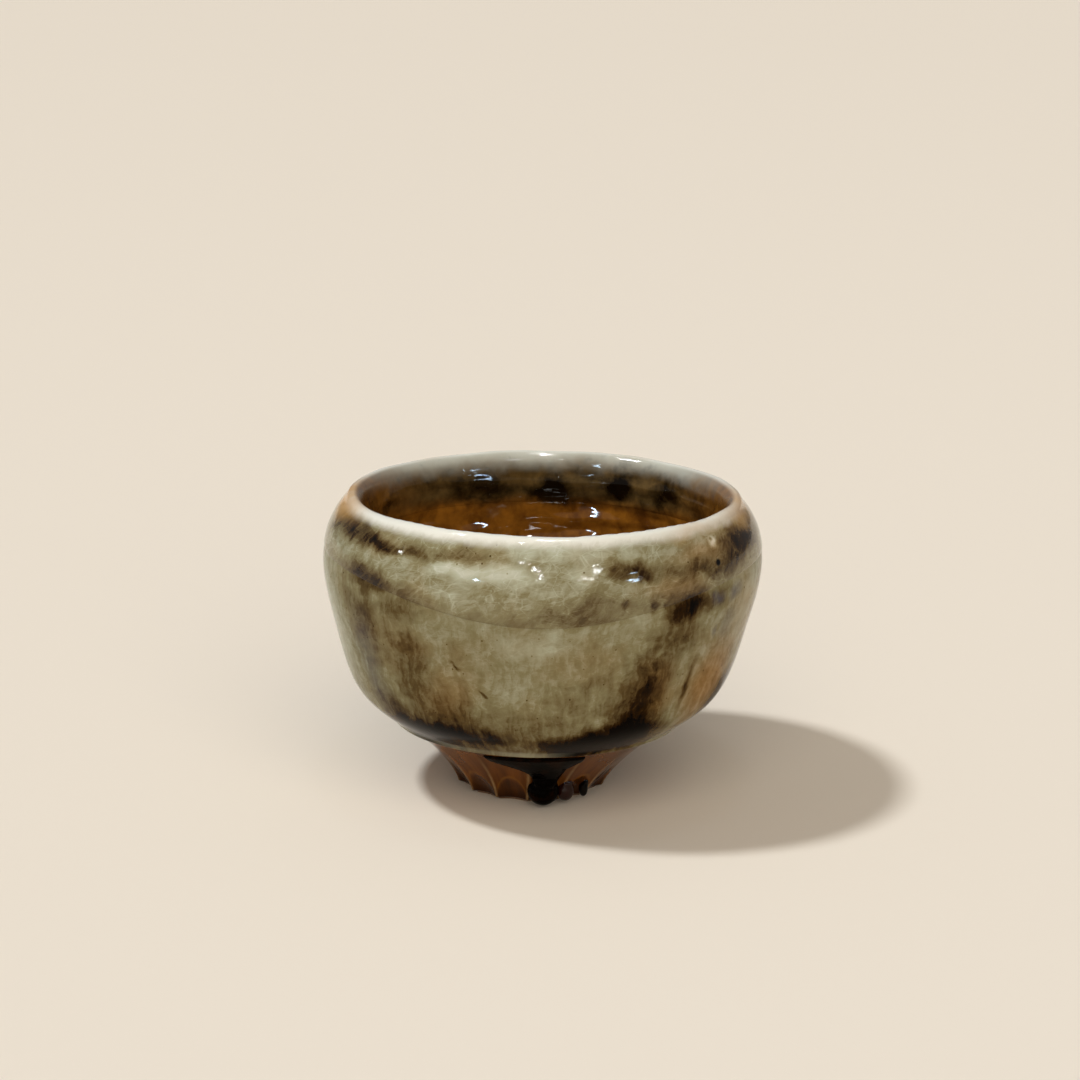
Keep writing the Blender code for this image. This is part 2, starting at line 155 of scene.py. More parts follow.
class TeaCupSizes(bpy.types.PropertyGroup):
    """Sizes of the thrown cup and its coats"""

    belly: size("Belly", "Radius of the clay at its widest", BOWL_HIGH.y)
    rim: size("Rim", "Height of the clay's lip", BOWL_HIGH.z)
    base: size("Base", "Height of the clay's underside", BOWL_LOW.z)
    foot: size("Foot", "Radius of the foot at the table", 11.0 * MM)
    flare: size("Flare", "How much wider the foot is at the bowl", 9.0 * MM)
    flutes: bpy.props.IntProperty(
        name="Flutes", description="Knife cuts round the foot", default=15, min=3
    )
    flute_depth: size("Flute depth", "Depth of a knife cut", 0.75 * MM)
    flute_top: size("Flute top", "Height to which a knife cut reaches", 5.4 * MM)
    dip_outside: size("Dip outside", "How far the rim was dipped", 8.2 * MM)
    dip_sag: size("Dip sag", "How far the dip ran at the front", 4.2 * MM)
    dip_inside: size("Dip inside", "How far the dip reaches inside", 7.8 * MM)
    edge_roll: size("Edge roll", "Swelling of the glaze over the foot", 0.45 * MM)
    waver: size("Waver", "Unevenness of the thrown wall", 0.22 * MM)
    rim_droop: size("Rim droop", "Unevenness of the lip", 0.35 * MM)
    rings: size("Rings", "Depth of the throwing rings outside", 0.08 * MM)
    rings_inside: size("Rings inside", "Depth of the throwing rings inside", 1.5 * MM)


class TeaCupColours(bpy.types.PropertyGroup):
    """Colours of the clay and the glazes"""

    milk: colour("Milk", "Thickest, milky glaze", "#cfd0c6")
    # Also the colour of the painted highlight along the roll over the foot
    pale_celadon: colour("Pale celadon", "Thick glaze", "#aaaa95")
    celadon: colour("Celadon", "Glaze of even thickness", "#81795a")
    olive: colour("Olive", "Thin glaze over iron", "#5a4a2c")
    iron: colour("Iron", "Iron showing through", "#2a1802")
    black: colour("Black", "Iron, saturated", "#050201")
    cream: colour("Cream", "Thickest glaze, toasted", "#d2bc9c")
    tan: colour("Tan", "Thick glaze, toasted", "#b2946a")
    ochre: colour("Ochre", "Even glaze, toasted", "#8b6b40")
    rust: colour("Rust", "Thin glaze, toasted", "#5f421e")
    slate: colour("Slate", "Bluish glaze over iron", "#4a4a58")
    lip: colour("Lip", "Glaze drawn thin over the lip", "#e6e5de")
    toast: colour("Toast", "Toasted lip", "#c2924f")
    amber: colour("Amber", "Liner glaze", "#8f5c1c")
    deep_amber: colour("Deep amber", "Liner glaze over dark clay", "#54300c")
    smoke: colour("Smoke", "Dip glaze over the liner", "#2b2412")
    foot: colour("Foot", "Iron wash on the foot", "#744417")
    # Also paints shade into the hollows of the knife cuts
    foot_dark: colour("Foot, dark", "Iron wash where it is thick", "#2e1606")
    ridge: colour("Ridge", "Wash drawn thin on the flutes' ridges", "#b09064")
    run: colour("Run", "Glaze that ran and pooled", "#040201")
    drop: colour("Drop", "Small translucent bead", "#220b06")
    clay: colour("Clay", "Fired stoneware", "#8a6a4c")
    slip: colour("Slip", "Joining slip", "#9a7c5c")


class TeaCupStage(bpy.types.PropertyGroup):
    """Floor, light and camera"""

    floor: colour("Floor", "Studio floor", "#eadfd2")
    key: strength("Key", "Strength of the light from the left", 1.85)
    fill: strength("Fill", "Strength of the light in front", 1.6)
    sky: strength("Sky", "Strength of the even light", 0.22)
    glint: strength("Glint", "Watts of a small lamp for each square metre", 500.0)
    lens: bpy.props.FloatProperty(
        name="Lens", description="Focal length", default=80.0, unit="CAMERA"
    )


def add(tree, kind, *values, **settings):
    """Add a node with its settings, and fill its inputs in order from values or nodes."""
    kind, usual = NODES.get(kind, (kind, {}))
    node = tree.nodes.new(kind)
    for key, value in {**usual, **settings}.items():
        setattr(node, key, value)
    sockets = [socket for socket in node.inputs if socket.enabled]
    for socket, value in zip(sockets, values):
        if isinstance(value, bpy.types.Node):
            value = next(out for out in value.outputs if out.enabled)
        if isinstance(value, bpy.types.NodeSocket):
            tree.links.new(value, socket)
        elif socket.type == "RGBA":
            socket.default_value = (*value, 1)
        elif value is not None:
            socket.default_value = value
    return node


# Turned shapes

COAT_INPUTS = {
    "NodeSocketObject": ("Line",),
    "NodeSocketMaterial": ("Material",),
    "NodeSocketInt": ("Flutes", "Turns", "Rows"),
    "NodeSocketFloat": (
        "Low end", "High end", "Sag", "Sag sharpness", "Underside", "Underside at lip", "Face",
        "Face at lip", "Lip place", "Lip end", "Run off", "Run length", "Roll", "Roll spread",
        "Low round", "High round", "Flute depth", "Flute start", "Flute top", "Flute end",
        "Waver", "Waver size", "Rings", "Rings inside", "Ring pitch", "Rim", "Rim droop",
        "Lean", "Lean height", "Foot shift", "Shift height", "Face share",
    ),
}
COAT_DEFAULTS = {
    "Sag": 0.0,
    "Sag sharpness": 8.0,
    "Lip place": -1.0,
    "Lip end": 6.5 * MM,
    "Run off": 0.0,
    "Run length": 10.0 * MM,
    "Roll": 0.0,
    "Roll spread": 1.0 * MM,
    "Flutes": 0,
    "Flute depth": 0.0,
    "Flute start": math.radians(-3.0),
    "Flute top": FOOT_HEIGHT,
    "Flute end": FOOT_HEIGHT,
    "Waver size": 13.0 * MM,
    "Rings": 0.0,
    "Rings inside": 0.0,
    "Ring pitch": 3.2 * MM,
    "Rim": BOWL_HIGH.z,
    "Rim droop": 0.0,
    "Lean": LEAN,
    "Lean height": BELLY_HEIGHT,
    "Foot shift": FOOT_SHIFT,
    "Shift height": EDGE_HEIGHT,
    "Turns": COAT_TURNS + 1,
    "Face share": 0.8,
}

# How steeply a knife cut's arch rises from its ridges, how unlike the cuts are, and how
# much of a cut goes on above its arch
ARCH_POWER = 0.6
CUT_RANGE = (0.85, 1.15)
CUT_TAIL = 0.5

# Stretch of the throwing rings round the wall, how far inside the lip they reach their
# depth, and how far from the axis the unevenness does
RING_STRETCH = (0.25, 0.25, 1.0)
RINGS_START = 4.0 * MM
STILL_MIDDLE = 12.0 * MM


def coat_tree():
    """Geometry nodes that turn a coat of glaze on the wheel. A sheet of rows and turns
    is laid along an outline from its low end to its high end, out on the face and back
    on the underside, and closed at both ends. It keeps three attributes: how far a point
    is inside a knife cut, how far it is from a ridge between two cuts, and its distance
    from the low end in millimetres."""
    tree = bpy.data.node_groups.new("Turned coat", "GeometryNodeTree")
    for kind, names in COAT_INPUTS.items():
        for name in names:
            tree.interface.new_socket(name, in_out="INPUT", socket_type=kind)
    tree.interface.new_socket("Coat", in_out="OUTPUT", socket_type="NodeSocketGeometry")
    node = partial(add, tree)
    given = node("NodeGroupInput").outputs
    sheet = node("GeometryNodeMeshGrid", 1.0, 1.0, given["Turns"], given["Rows"])
    spot = node("split", node("GeometryNodeInputPosition")).outputs

    # Turn round the axis, with the seam at the back, and way along the outline
    turn = node("multiply", spot["X"], math.tau)
    facing = node("cosine", turn)
    sideways = node("sine", turn)
    row = node("add", spot["Y"], 0.5)
    out = node("divide", row, given["Face share"])
    rest = node("subtract", 1.0, given["Face share"])
    left = node("subtract", 1.0, row)
    back = node("divide", left, rest)
    way = node("minimum", out, back)
    half_turn = node("multiply", way, math.pi)
    eased = node("multiply_add", node("cosine", half_turn), -0.5, 0.5)
    is_face = node("less_than", row, given["Face share"])

    # The low end sags at the front
    front = node("multiply_add", facing, 0.5, 0.5)
    sharp = node("power", front, given["Sag sharpness"])
    sag = node("multiply", sharp, given["Sag"])
    low = node("subtract", given["Low end"], sag)
    place = node("mix", eased, low, given["High end"])
    from_low = node("subtract", place, low)
    from_high = node("subtract", given["High end"], place)

    # Both ends are rounded over
    body = is_face
    for reach, radius in ((from_low, "Low round"), (from_high, "High round")):
        share = node("divide", reach, given[radius], use_clamp=True)
        short = node("subtract", 1.0, share)
        over = node("subtract", 1.0, node("multiply", short, short))
        body = node("multiply", body, node("sqrt", over))

    # Thickness: thin at the lip, thinner as it ran, swollen at the low end
    to_lip = node("subtract", place, given["Lip place"])
    below_lip = node("ease", node("absolute", to_lip), 0.0, given["Lip end"])
    under = node("mix", below_lip, given["Underside at lip"], given["Underside"])
    even = node("mix", below_lip, given["Face at lip"], given["Face"])
    stayed = node("ease", from_low, 0.0, given["Run length"], 1.0, 0.0)
    lost = node("multiply", stayed, given["Run off"])
    thinned = node("subtract", even, lost)
    spread = node("divide", from_low, given["Roll spread"])
    negative = node("multiply", node("multiply", spread, spread), -1.0)
    bulge = node("exponent", negative)
    face = node("multiply_add", bulge, given["Roll"], thinned)
    thick = node("subtract", face, under)
    away = node("multiply_add", thick, body, under)

    # Off the outline, along its normal
    line = node("GeometryNodeObjectInfo", given["Line"]).outputs["Geometry"]
    sample = node("GeometryNodeSampleCurve", mode="LENGTH")
    tree.links.new(line, sample.inputs["Curves"])
    tree.links.new(place.outputs[0], sample.inputs["Length"])
    clay = node("split", sample.outputs["Position"]).outputs
    along = node("split", sample.outputs["Tangent"]).outputs
    radius = node("multiply_add", away, along["Z"], clay["X"])
    sunk = node("multiply", away, along["X"])
    height = node("subtract", clay["Z"], sunk)

    # Knife flutes: hollows between sharp ridges, each ending in an arch of its own height
    compass = node("join", sideways, facing, 0.0)
    hand = node("noise", compass, 1.6, 1.0)
    from_start = node("subtract", turn, given["Flute start"])
    waves = node("multiply", from_start, given["Flutes"])
    half_wave = node("multiply", waves, 0.5)
    hollow = node("absolute", node("sine", half_wave))
    arch = node("power", hollow, ARCH_POWER)
    unlike = node("range", hand, 0.3, 0.7, *CUT_RANGE)
    top = node("multiply", unlike, given["Flute top"])
    rise = node("divide", height, top)
    inside = node("subtract", arch, rise)
    carved = node("maximum", inside, 0.0)
    running_out = node("range", height, 0.0, given["Flute end"], CUT_TAIL, 0.0)
    both_cuts = node("multiply_add", hollow, running_out, carved)
    cut = node("multiply", both_cuts, given["Flute depth"])
    fluted = node("subtract", radius, cut)

    # Hand-thrown unevenness, always inwards, fading out at the axis
    side = node("multiply", clay["X"], sideways)
    ahead = node("multiply", clay["X"], facing)
    wall = node("join", side, ahead, clay["Z"])
    pitch = node("divide", 1.0, given["Waver size"])
    waver = node("noise", wall, pitch, 2.0, 0.45)
    ring_wall = node("vector_multiply", wall, RING_STRETCH)
    ring_scale = node("divide", 1.0, given["Ring pitch"])
    rings = node("noise", ring_wall, ring_scale, 1.0, 0.5)
    uneven = node("multiply", waver, given["Waver"])
    inner = node("range", to_lip, 0.0, RINGS_START)
    ring_depth = node("mix", inner, given["Rings"], given["Rings inside"])
    ringed = node("multiply_add", rings, ring_depth, uneven)
    off_axis = node("range", clay["X"], 0.0, STILL_MIDDLE)
    inwards = node("multiply", ringed, off_axis)
    thrown = node("subtract", fluted, inwards)
    final = node("maximum", thrown, 0.0)
    near_rim = node("ease", clay["Z"], given["Lean height"], given["Rim"])
    droop = node("range", hand, 0.35, 0.65, 0.0, given["Rim droop"])
    drooped = node("multiply", droop, near_rim)
    level = node("subtract", height, drooped)

    # Into space, with the lean of the bowl and the foot a little to one side
    above = node("subtract", height, given["Lean height"])
    leaning = node("multiply", above, given["Lean"])
    shift = node("range", height, 0.0, given["Shift height"], given["Foot shift"], 0.0)
    bend = node("subtract", leaning, shift)
    x = node("multiply_add", final, sideways, bend)
    forward = node("multiply", final, facing)
    y = node("multiply", forward, -1.0)
    point = node("join", x, y, level)
    from_end = node("multiply", from_low, 1 / MM)
    for name, field in (("flute", inside), ("ridge", hollow), ("from_end", from_end)):
        sheet = node("GeometryNodeStoreNamedAttribute", sheet, None, name, field)
    shaped = node("GeometryNodeSetPosition", sheet, None, point)
    closed = node("GeometryNodeMergeByDistance", shaped, None, SMALLEST)
    smooth = node("GeometryNodeSetShadeSmooth", closed)
    real = node("GeometryNodeRealizeInstances", smooth)
    glazed = node("GeometryNodeSetMaterial", real, None, given["Material"])
    node("NodeGroupOutput", glazed)
    return tree


def smooth_line(stations):
    """Points on an even curve through the stations, which are (radius, height)."""
    points = [Vector((radius, 0.0, height)) for radius, height in stations]
    ends = [2 * points[0] - points[1], *points, 2 * points[-1] - points[-2]]
    chords = [math.sqrt((b - a).length) for a, b in zip(ends, ends[1:])]

    def tangent(i, chord):
        before = (ends[i] - ends[i - 1]) / chords[i - 1]
        across = (ends[i + 1] - ends[i - 1]) / (chords[i - 1] + chords[i])
        after = (ends[i + 1] - ends[i]) / chords[i]
        return (before - across + after) * chord / 3

    line = []
    for i in range(1, len(points)):
        start_handle = ends[i] + tangent(i, chords[i])
        end_handle = ends[i + 1] - tangent(i + 1, chords[i])
        line += interpolate_bezier(
            ends[i], start_handle, end_handle, ends[i + 1], SPAN_STEPS + 1
        )[:-1]
    return [*line, points[-1]]


def clay_stations(sizes):
    """Named (radius, height) stations of the clay's outline, from under the base, up
    the outside, over the lip and down to the middle of the floor."""
    foot_top = sizes.foot + sizes.flare
    edge = (foot_top + LEDGE[0], EDGE_HEIGHT)
    hip = (edge[0] + HIP_STEP[0], edge[1] + HIP_STEP[1])
    flank = ((hip[0] + sizes.belly) / 2 + FLANK_FULLNESS, (hip[1] + BELLY_HEIGHT) / 2)
    shoulder = (sizes.belly - SHOULDER_STEP[0], sizes.rim - SHOULDER_STEP[1])
    lip = sizes.belly - LIP_INSET
    sag = FOOT_HEIGHT - sizes.base
    floor = sizes.base + FLOOR_THICKNESS
    return {
        "under": (0.0, sizes.base),
        "recess": (RECESS_RADIUS, sizes.base + sag * BASE_CURVE),
        "foot top": (foot_top, FOOT_HEIGHT),
        "edge": edge,
        "hip": hip,
        "flank": flank,
        "belly": (sizes.belly, BELLY_HEIGHT),
        "shoulder": shoulder,
        "lip outside": (lip + LIP_THICKNESS / 2, sizes.rim - LIP_ROUNDS[0]),
        "lip": (lip, sizes.rim),
        "lip inside": (lip - LIP_THICKNESS / 2, sizes.rim - LIP_ROUNDS[1]),
        "neck": (shoulder[0] - WALLS[0], shoulder[1] - WALLS[0] / 2),
        "belly inside": (sizes.belly - WALLS[1], BELLY_HEIGHT),
        "flank inside": (flank[0] - WALLS[1], flank[1]),
        "hip inside": (hip[0] - WALLS[2], hip[1] + WALLS[2] / 2),
        "floor edge": (FLOOR_EDGE[0], floor + FLOOR_EDGE[1]),
        "floor": (0.0, floor),
    }


def clay_line(sizes):
    """The clay's outline as points, and how far along it each named station is."""
    stations = clay_stations(sizes)
    points = smooth_line(list(stations.values()))
    travelled = [0.0]
    for a, b in zip(points, points[1:]):
        travelled.append(travelled[-1] + (b - a).length)
    marks = {name: travelled[i * SPAN_STEPS] for i, name in enumerate(stations)}
    return points, marks


def foot_radius(sizes, height):
    """The foot's outside before it is fluted: a cone that opens like a trumpet."""
    share = max(0.0, height / FOOT_HEIGHT)
    return sizes.foot + sizes.flare * share**FLARE_CURVE


def foot_line(sizes):
    """The foot's outside from the table up, and on along the ledge under the bowl."""
    wall = [FOOT_HEIGHT * row / FOOT_ROWS for row in range(FOOT_ROWS + 1)]
    foot = [(foot_radius(sizes, height), height) for height in wall]
    return smooth_line([*foot, clay_stations(sizes)["edge"]])


def line_length(points):
    return sum((b - a).length for a, b in zip(points, points[1:]))


def outline_object(context, name, points):
    """A curve object for the turning tree to follow."""
    curve = bpy.data.curves.new(name, "CURVE")
    curve.dimensions = "3D"
    spline = curve.splines.new("POLY")
    spline.points.add(len(points) - 1)
    for spot, point in zip(spline.points, points):
        spot.co = (*point, 1.0)
    obj = bpy.data.objects.new(name, curve)
    context.scene.collection.objects.link(obj)
    return obj


def turn_coat(context, name, points, material, **values):
    """One turned coat as a plain mesh object."""
    tree = bpy.data.node_groups.get("Turned coat") or coat_tree()
    line = outline_object(context, name + "_line", points)
    obj = bpy.data.objects.new(name, bpy.data.meshes.new(name))
    context.scene.collection.objects.link(obj)
    modifier = obj.modifiers.new("Turned coat", "NODES")
    modifier.node_group = tree
    named = {key.replace("_", " ").capitalize(): value for key, value in values.items()}
    settings = {**COAT_DEFAULTS, **named, "Line": line, "Material": material}
    settings.setdefault("Underside at lip", settings["Underside"])
    settings.setdefault("Face at lip", settings["Face"])
    for item in tree.interface.items_tree:
        if item.in_out == "INPUT":
            modifier[item.identifier] = settings[item.name]
    bake_modifiers(context, obj)
    curve = line.data
    bpy.data.objects.remove(line)
    bpy.data.curves.remove(curve)
    if not obj.data.polygons:
        raise RuntimeError(name + " came out empty")
    return obj


def bowl_coat(context, name, finish, low, high, **values):
    """A coat turned along the bowl's outline from a low to a high place. A place is a
    named station and how far past it the coat ends."""
    sizes = context.scene.tea_cup_sizes
    points, marks = clay_line(sizes)
    return turn_coat(
        context,
        name,
        points,
        finish(context.scene.tea_cup_colours),
        low_end=marks[low[0]] + low[1],
        high_end=marks[high[0]] + high[1],
        lip_place=marks["lip"],
        waver=sizes.waver,
        rings=sizes.rings,
        rim_droop=sizes.rim_droop,
        **values,
    )


def bake_modifiers(context, obj):
    """Turn an object and its modifiers into one plain mesh."""
    context.view_layer.update()
    graph = context.evaluated_depsgraph_get()
    before = obj.data
    result = bpy.data.meshes.new_from_object(obj.evaluated_get(graph))
    obj.modifiers.clear()
    obj.data = result
    bpy.data.meshes.remove(before)
    result.name = obj.name


def place_piece(obj, slot, *nodes):
    """Fix a finished piece to the cup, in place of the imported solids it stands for."""
    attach(obj, "root")
    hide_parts(*nodes)


# Glaze patterns, all in millimetres

WHEEL_RADIUS = 32.7


class WheelSpace:
    """Where a point lies on the cup: in plain space, round the belly and up the wall
    with no seam at the back, its height, and its distance from the axis."""

    def __init__(self, tree):
        node = partial(add, tree)
        place = node("ShaderNodeTexCoord").outputs["Object"]
        self.plain = node("vector_multiply", place, (1 / MM,) * 3)
        apart = node("split", self.plain).outputs
        self.height = apart["Z"]
        above = node("subtract", self.height, BELLY_HEIGHT / MM)
        lean = node("multiply", above, LEAN)
        shift = node("range", self.height, 0.0, EDGE_HEIGHT / MM, FOOT_SHIFT / MM, 0.0)
        bend = node("subtract", lean, shift)
        upright = node("subtract", apart["X"], bend)
        across = node("join", upright, apart["Y"], 0.0)
        self.radius = node("vector_length", across)
        outward = node("vector_normalize", across)
        rim = node("vector_multiply", outward, (WHEEL_RADIUS,) * 3)
        lift = node("join", 0.0, 0.0, self.height)
        self.wheel = node("vector_add", rim, lift)


def warp(tree, point, reach, grain, detail=3.0):
    """The same coordinates, pushed about by noise: by how much, over what distance and
    with how many finer waves."""
    noise = add(tree, "noise", point, 1 / grain, detail, 0.55).outputs["Color"]
    middle = add(tree, "vector_subtract", noise, (0.5,) * 3)
    push = add(tree, "vector_multiply", middle, (reach,) * 3)
    return add(tree, "vector_add", point, push)


def aslant(tree, space, point, slope):
    """The same coordinates, wound round the axis with height, so that what is stretched
    upwards lies aslant: by how far sideways for each millimetre up."""
    angle = add(tree, "multiply", space.height, -slope / WHEEL_RADIUS)
    return add(tree, "wind", point, (0.0,) * 3, angle)


def hairs(tree, point, spacing, width):
    """Thin lines that wander over the wall, some way apart, as shares of one."""
    hills = add(tree, "noise", point, 1 / spacing, 1.5, 0.5)
    share = add(tree, "fract", add(tree, "multiply", hills, 5.0))
    far = add(tree, "absolute", add(tree, "subtract", share, 0.5))
    return add(tree, "range", far, 0.0, width, 1.0, 0.0)


def clouds(tree, point, spots):
    """Soft spots added together: stains, and in places painted sheen, shade and highlight. Each
    spot is its turn in degrees, its height, half its width and half its height in millimetres, its
    tilt in degrees and its strength."""
    total = None
    for turn, height, width, tall, tilt, weight in spots:
        angle = math.radians(turn)
        outward = (math.sin(angle), -math.cos(angle), 0.0)
        centre = (outward[0] * WHEEL_RADIUS, outward[1] * WHEEL_RADIUS, height)
        off = add(tree, "vector_subtract", point, centre)
        if tilt:
            off = add(tree, "tilt", off, (0.0,) * 3, outward, math.radians(tilt))
        near = add(tree, "vector_multiply", off, (1 / width, 1 / width, 1 / tall))
        far = add(tree, "vector_length", near)
        heap = add(tree, "ease", far, 1.0, 0.0, 0.0, weight)
        total = heap if total is None else add(tree, "add", total, heap)
    return total


# Where the iron shows through the outside, and where the glaze lies thick over it. The broad
# lighter spots at the left and right edges are painted sheen, and the dark spot low on the right is
# partly painted shade. Each spot is its turn, height, half width, half height, tilt and strength.
IRON_CLOUDS_AND_PAINTED_LIGHT = (
    (-62, 43.8, 9.0, 2.2, 6, 0.50),
    (-48, 43.5, 7.0, 1.6, 8, 0.50),
    (-36, 43.4, 6.0, 1.6, 0, 0.22),
    (-23, 44.2, 9.0, 1.4, -3, 0.20),
    (-76, 43.5, 6.0, 4.0, 0, 0.24),
    # Painted sheen: a lighter band down the left edge, where the glaze catches light at a grazing
    # angle
    (-78, 28.0, 10.0, 15.0, 0, -0.24),
    # Painted sheen: a lighter band down the right edge
    (68, 33.5, 8.0, 9.0, 0, -0.17),
    (-25, 42.5, 6.0, 2.2, 0, -0.12),
    (-50, 38.6, 8.0, 3.2, 3, 0.48),
    (-38, 35.5, 6.0, 4.5, 0, 0.24),
    (-58, 35.0, 6.0, 4.0, 0, 0.10),
    (-18, 41.8, 9.0, 2.4, 0, -0.20),
    (-7, 41.3, 6.0, 2.6, 0, -0.20),
    (3, 44.9, 17.0, 2.2, 0, -0.18),
    (11, 42.0, 5.0, 2.0, 0, -0.14),
    (9, 36.6, 11.0, 3.4, -4, 0.22),
    (23, 41.9, 7.0, 2.2, 4, 0.42),
    (41, 40.8, 8.0, 2.4, 0, 0.26),
    (32, 37.4, 6.0, 2.4, 0, 0.16),
    (60, 43.0, 8.0, 3.0, 0, 0.34),
    (70, 42.8, 9.0, 3.6, 0, 0.42),
    (55, 40.4, 9.0, 2.4, 0, 0.38),
    (51, 37.0, 3.6, 2.2, 0, 0.16),
    (51, 44.1, 1.3, 1.1, 0, -0.50),
    (50.6, 44.3, 0.6, 0.5, 0, 0.60),
    (20.5, 37.3, 1.2, 1.0, 0, 0.30),
    (28, 36.8, 1.2, 1.2, 0, 0.30),
    (38.5, 36.0, 6.0, 2.6, -10, 0.42),
    (45, 35.0, 7.0, 2.2, -4, 0.30),
    (37, 32.0, 8.0, 6.0, 12, 0.26),
    (29.5, 26.0, 6.5, 6.0, 12, 0.27),
    (27.5, 20.5, 6.5, 6.0, 0, 0.34),
    (29, 16.2, 9.0, 5.0, 0, 0.60),
    (20, 14.0, 9.0, 5.0, 0, 0.90),
    (36, 13.6, 8.0, 4.5, 0, 0.40),
    (9, 13.0, 9.0, 4.0, 0, 0.55),
    (9, 16.5, 12.0, 8.0, 0, 0.14),
    (-26, 14.4, 22.0, 11.0, 0, 0.36),
    (-20, 15.6, 9.0, 2.4, 0, 0.36),
    (-34, 15.6, 9.0, 3.4, 5, 0.52),
    (-50, 13.0, 15.0, 4.5, 0, 0.48),
    (-47, 17.5, 7.0, 4.0, 10, 0.18),
    (-37, 30.2, 6.0, 3.0, 0, 0.20),
    (-36, 25.0, 6.0, 7.0, 0, 0.24),
    (-27, 23.5, 8.0, 5.0, 0, 0.08),
    (12, 23.0, 9.0, 6.0, 0, 0.12),
    (-52, 33.0, 5.0, 6.0, 0, 0.22),
    (-48, 27.0, 9.0, 12.0, 0, 0.10),
    (30, 24.0, 9.0, 13.0, 0, 0.12),
    # Partly an iron stain, and partly painted shade on the lower right, the side away from the key
    # light
    (71, 17.5, 9.0, 7.0, 0, 0.68),
    (44.5, 22.6, 1.0, 6.0, 4, 0.28),
    (-22, 27.4, 0.45, 1.6, -35, 0.40),
    (-15, 23.3, 0.45, 1.4, -62, 0.40),
    (0, 31.5, 9.0, 3.5, 0, -0.10),
    (95, 43.2, 13.0, 2.4, 3, 0.45),
    (140, 43.6, 13.0, 2.0, -3, 0.40),
    (-150, 43.4, 13.0, 2.4, 4, 0.50),
    (-105, 42.8, 12.0, 2.6, -4, 0.40),
    (100, 28.6, 6.0, 11.0, 14, 0.36),
    (150, 24.6, 7.0, 11.0, -12, 0.36),
    (-160, 30.6, 6.0, 10.0, 10, 0.32),
    (-112, 24.6, 7.0, 12.0, -14, 0.36),
    (85, 15.6, 13.0, 3.2, 0, 0.45),
    (145, 15.4, 13.0, 3.6, 0, 0.75),
    (-145, 15.4, 13.0, 3.2, 0, 0.50),
    (-90, 15.6, 13.0, 3.0, 0, 0.45),
    (120, 36.6, 13.0, 3.0, 0, -0.12),
    (-130, 37.6, 13.0, 3.0, 0, -0.15),
    (180, 24.6, 8.0, 8.0, 0, -0.12),
)
WARM_CLOUDS = (
    (56, 20.6, 10.0, 11.0, 0, 0.9),
    (60, 28.6, 14.0, 16.0, 0, 0.3),
    (33, 39.0, 10.0, 3.0, 0, 0.5),
    (50, 43.1, 12.0, 3.4, 0, 0.7),
    (-26, 22.1, 8.0, 7.0, 0, 0.5),
    (-38, 30.6, 8.0, 8.0, 0, 0.2),
    (31, 22.6, 7.0, 11.0, 0, 0.5),
    (120, 20.6, 12.0, 10.0, 0, 0.7),
    (-170, 36.6, 12.0, 4.0, 0, 0.5),
    (-125, 30.6, 11.0, 10.0, 0, 0.5),
)
SLATE_CLOUDS = (
    (57, 36.1, 2.8, 1.8, -12, 0.9),
    (49, 36.0, 2.6, 1.6, -8, 0.8),
    (50.4, 30.6, 0.9, 1.2, 0, 0.9),
    (56, 31.1, 3.6, 4.4, 0, 0.4),
    (-54, 27.6, 5.0, 9.0, 0, 0.5),
    (-52, 20.6, 5.0, 7.0, 0, 0.45),
    (165, 32.6, 4.0, 5.0, 0, 0.6),
    (-100, 31.6, 4.0, 6.0, 0, 0.6),
)
TOASTED_LIP = (
    (-86, 46.0, 18.0, 3.4, 0, 1.0),
    (82, 46.0, 19.0, 3.4, 0, 0.8),
    (46, 46.0, 10.0, 1.6, 0, 0.3),
    (150, 46.0, 7.0, 1.6, 0, 0.4),
    (-140, 46.0, 7.0, 1.6, 0, 0.4),
)
PINHOLE = ((50, 41.1, 0.75, 0.75, 0, 1.0),)
# Paler places along the roll: milky gathered glaze, and a painted highlight where the roll catches
# the light
ROLL_PALE_AND_HIGHLIGHT = (
    (-6, 12.0, 13.0, 3.0, 0, 0.48),
    (-32, 12.0, 12.0, 3.0, 0, 0.30),
    (-66, 12.0, 14.0, 3.0, 0, 0.60),
    (60, 12.0, 12.0, 3.0, 0, 0.30),
    (118, 12.0, 20.0, 3.0, 0, 0.60),
    (-150, 12.0, 22.0, 3.0, 0, 0.60),
)
INSIDE_CLOUDS = (
    (177, 40.3, 9.5, 3.8, 0, 1.1),
    (154, 41.3, 6.0, 4.2, 0, 1.2),
    (134, 41.5, 6.5, 3.8, 0, 0.9),
    (-158, 41.0, 10.0, 3.4, 0, 0.8),
    (-115, 41.6, 6.0, 2.4, 0, 0.6),
    (60, 40.6, 5.0, 2.4, 0, 0.7),
    (0, 40.6, 5.0, 2.4, 0, 0.7),
    (-60, 41.1, 5.0, 2.4, 0, 0.7),
)

# Heights that the dipped coat stays above, the first coat below, and where each kind of
# glaze gives way to the next
DIP_LOWEST = 32.6
ASH_HIGHEST = 40.6
ROLL_LINE = (12.6, 11.8)
LIP_PALE = (44.8, 46.3)
LINER_COVERED = (37.4, 40.6)
INSIDE_PALE = (43.2, 47.0)
THICK_AT_BACK = (2.0, 27.0, 0.15, 1.0)
INSIDE_RADII = (29.4, 28.5)

# How far the glaze was pushed about, and over what distance
DRIFT = (4.0, 6.0)
RAGGED_DRIFT = (0.7, 1.1)
ROLL_DRIFT = (3.0, 5.0)
SPOT_DRIFT = (4.0, 4.0)
CURL = (1.6, 7.0)

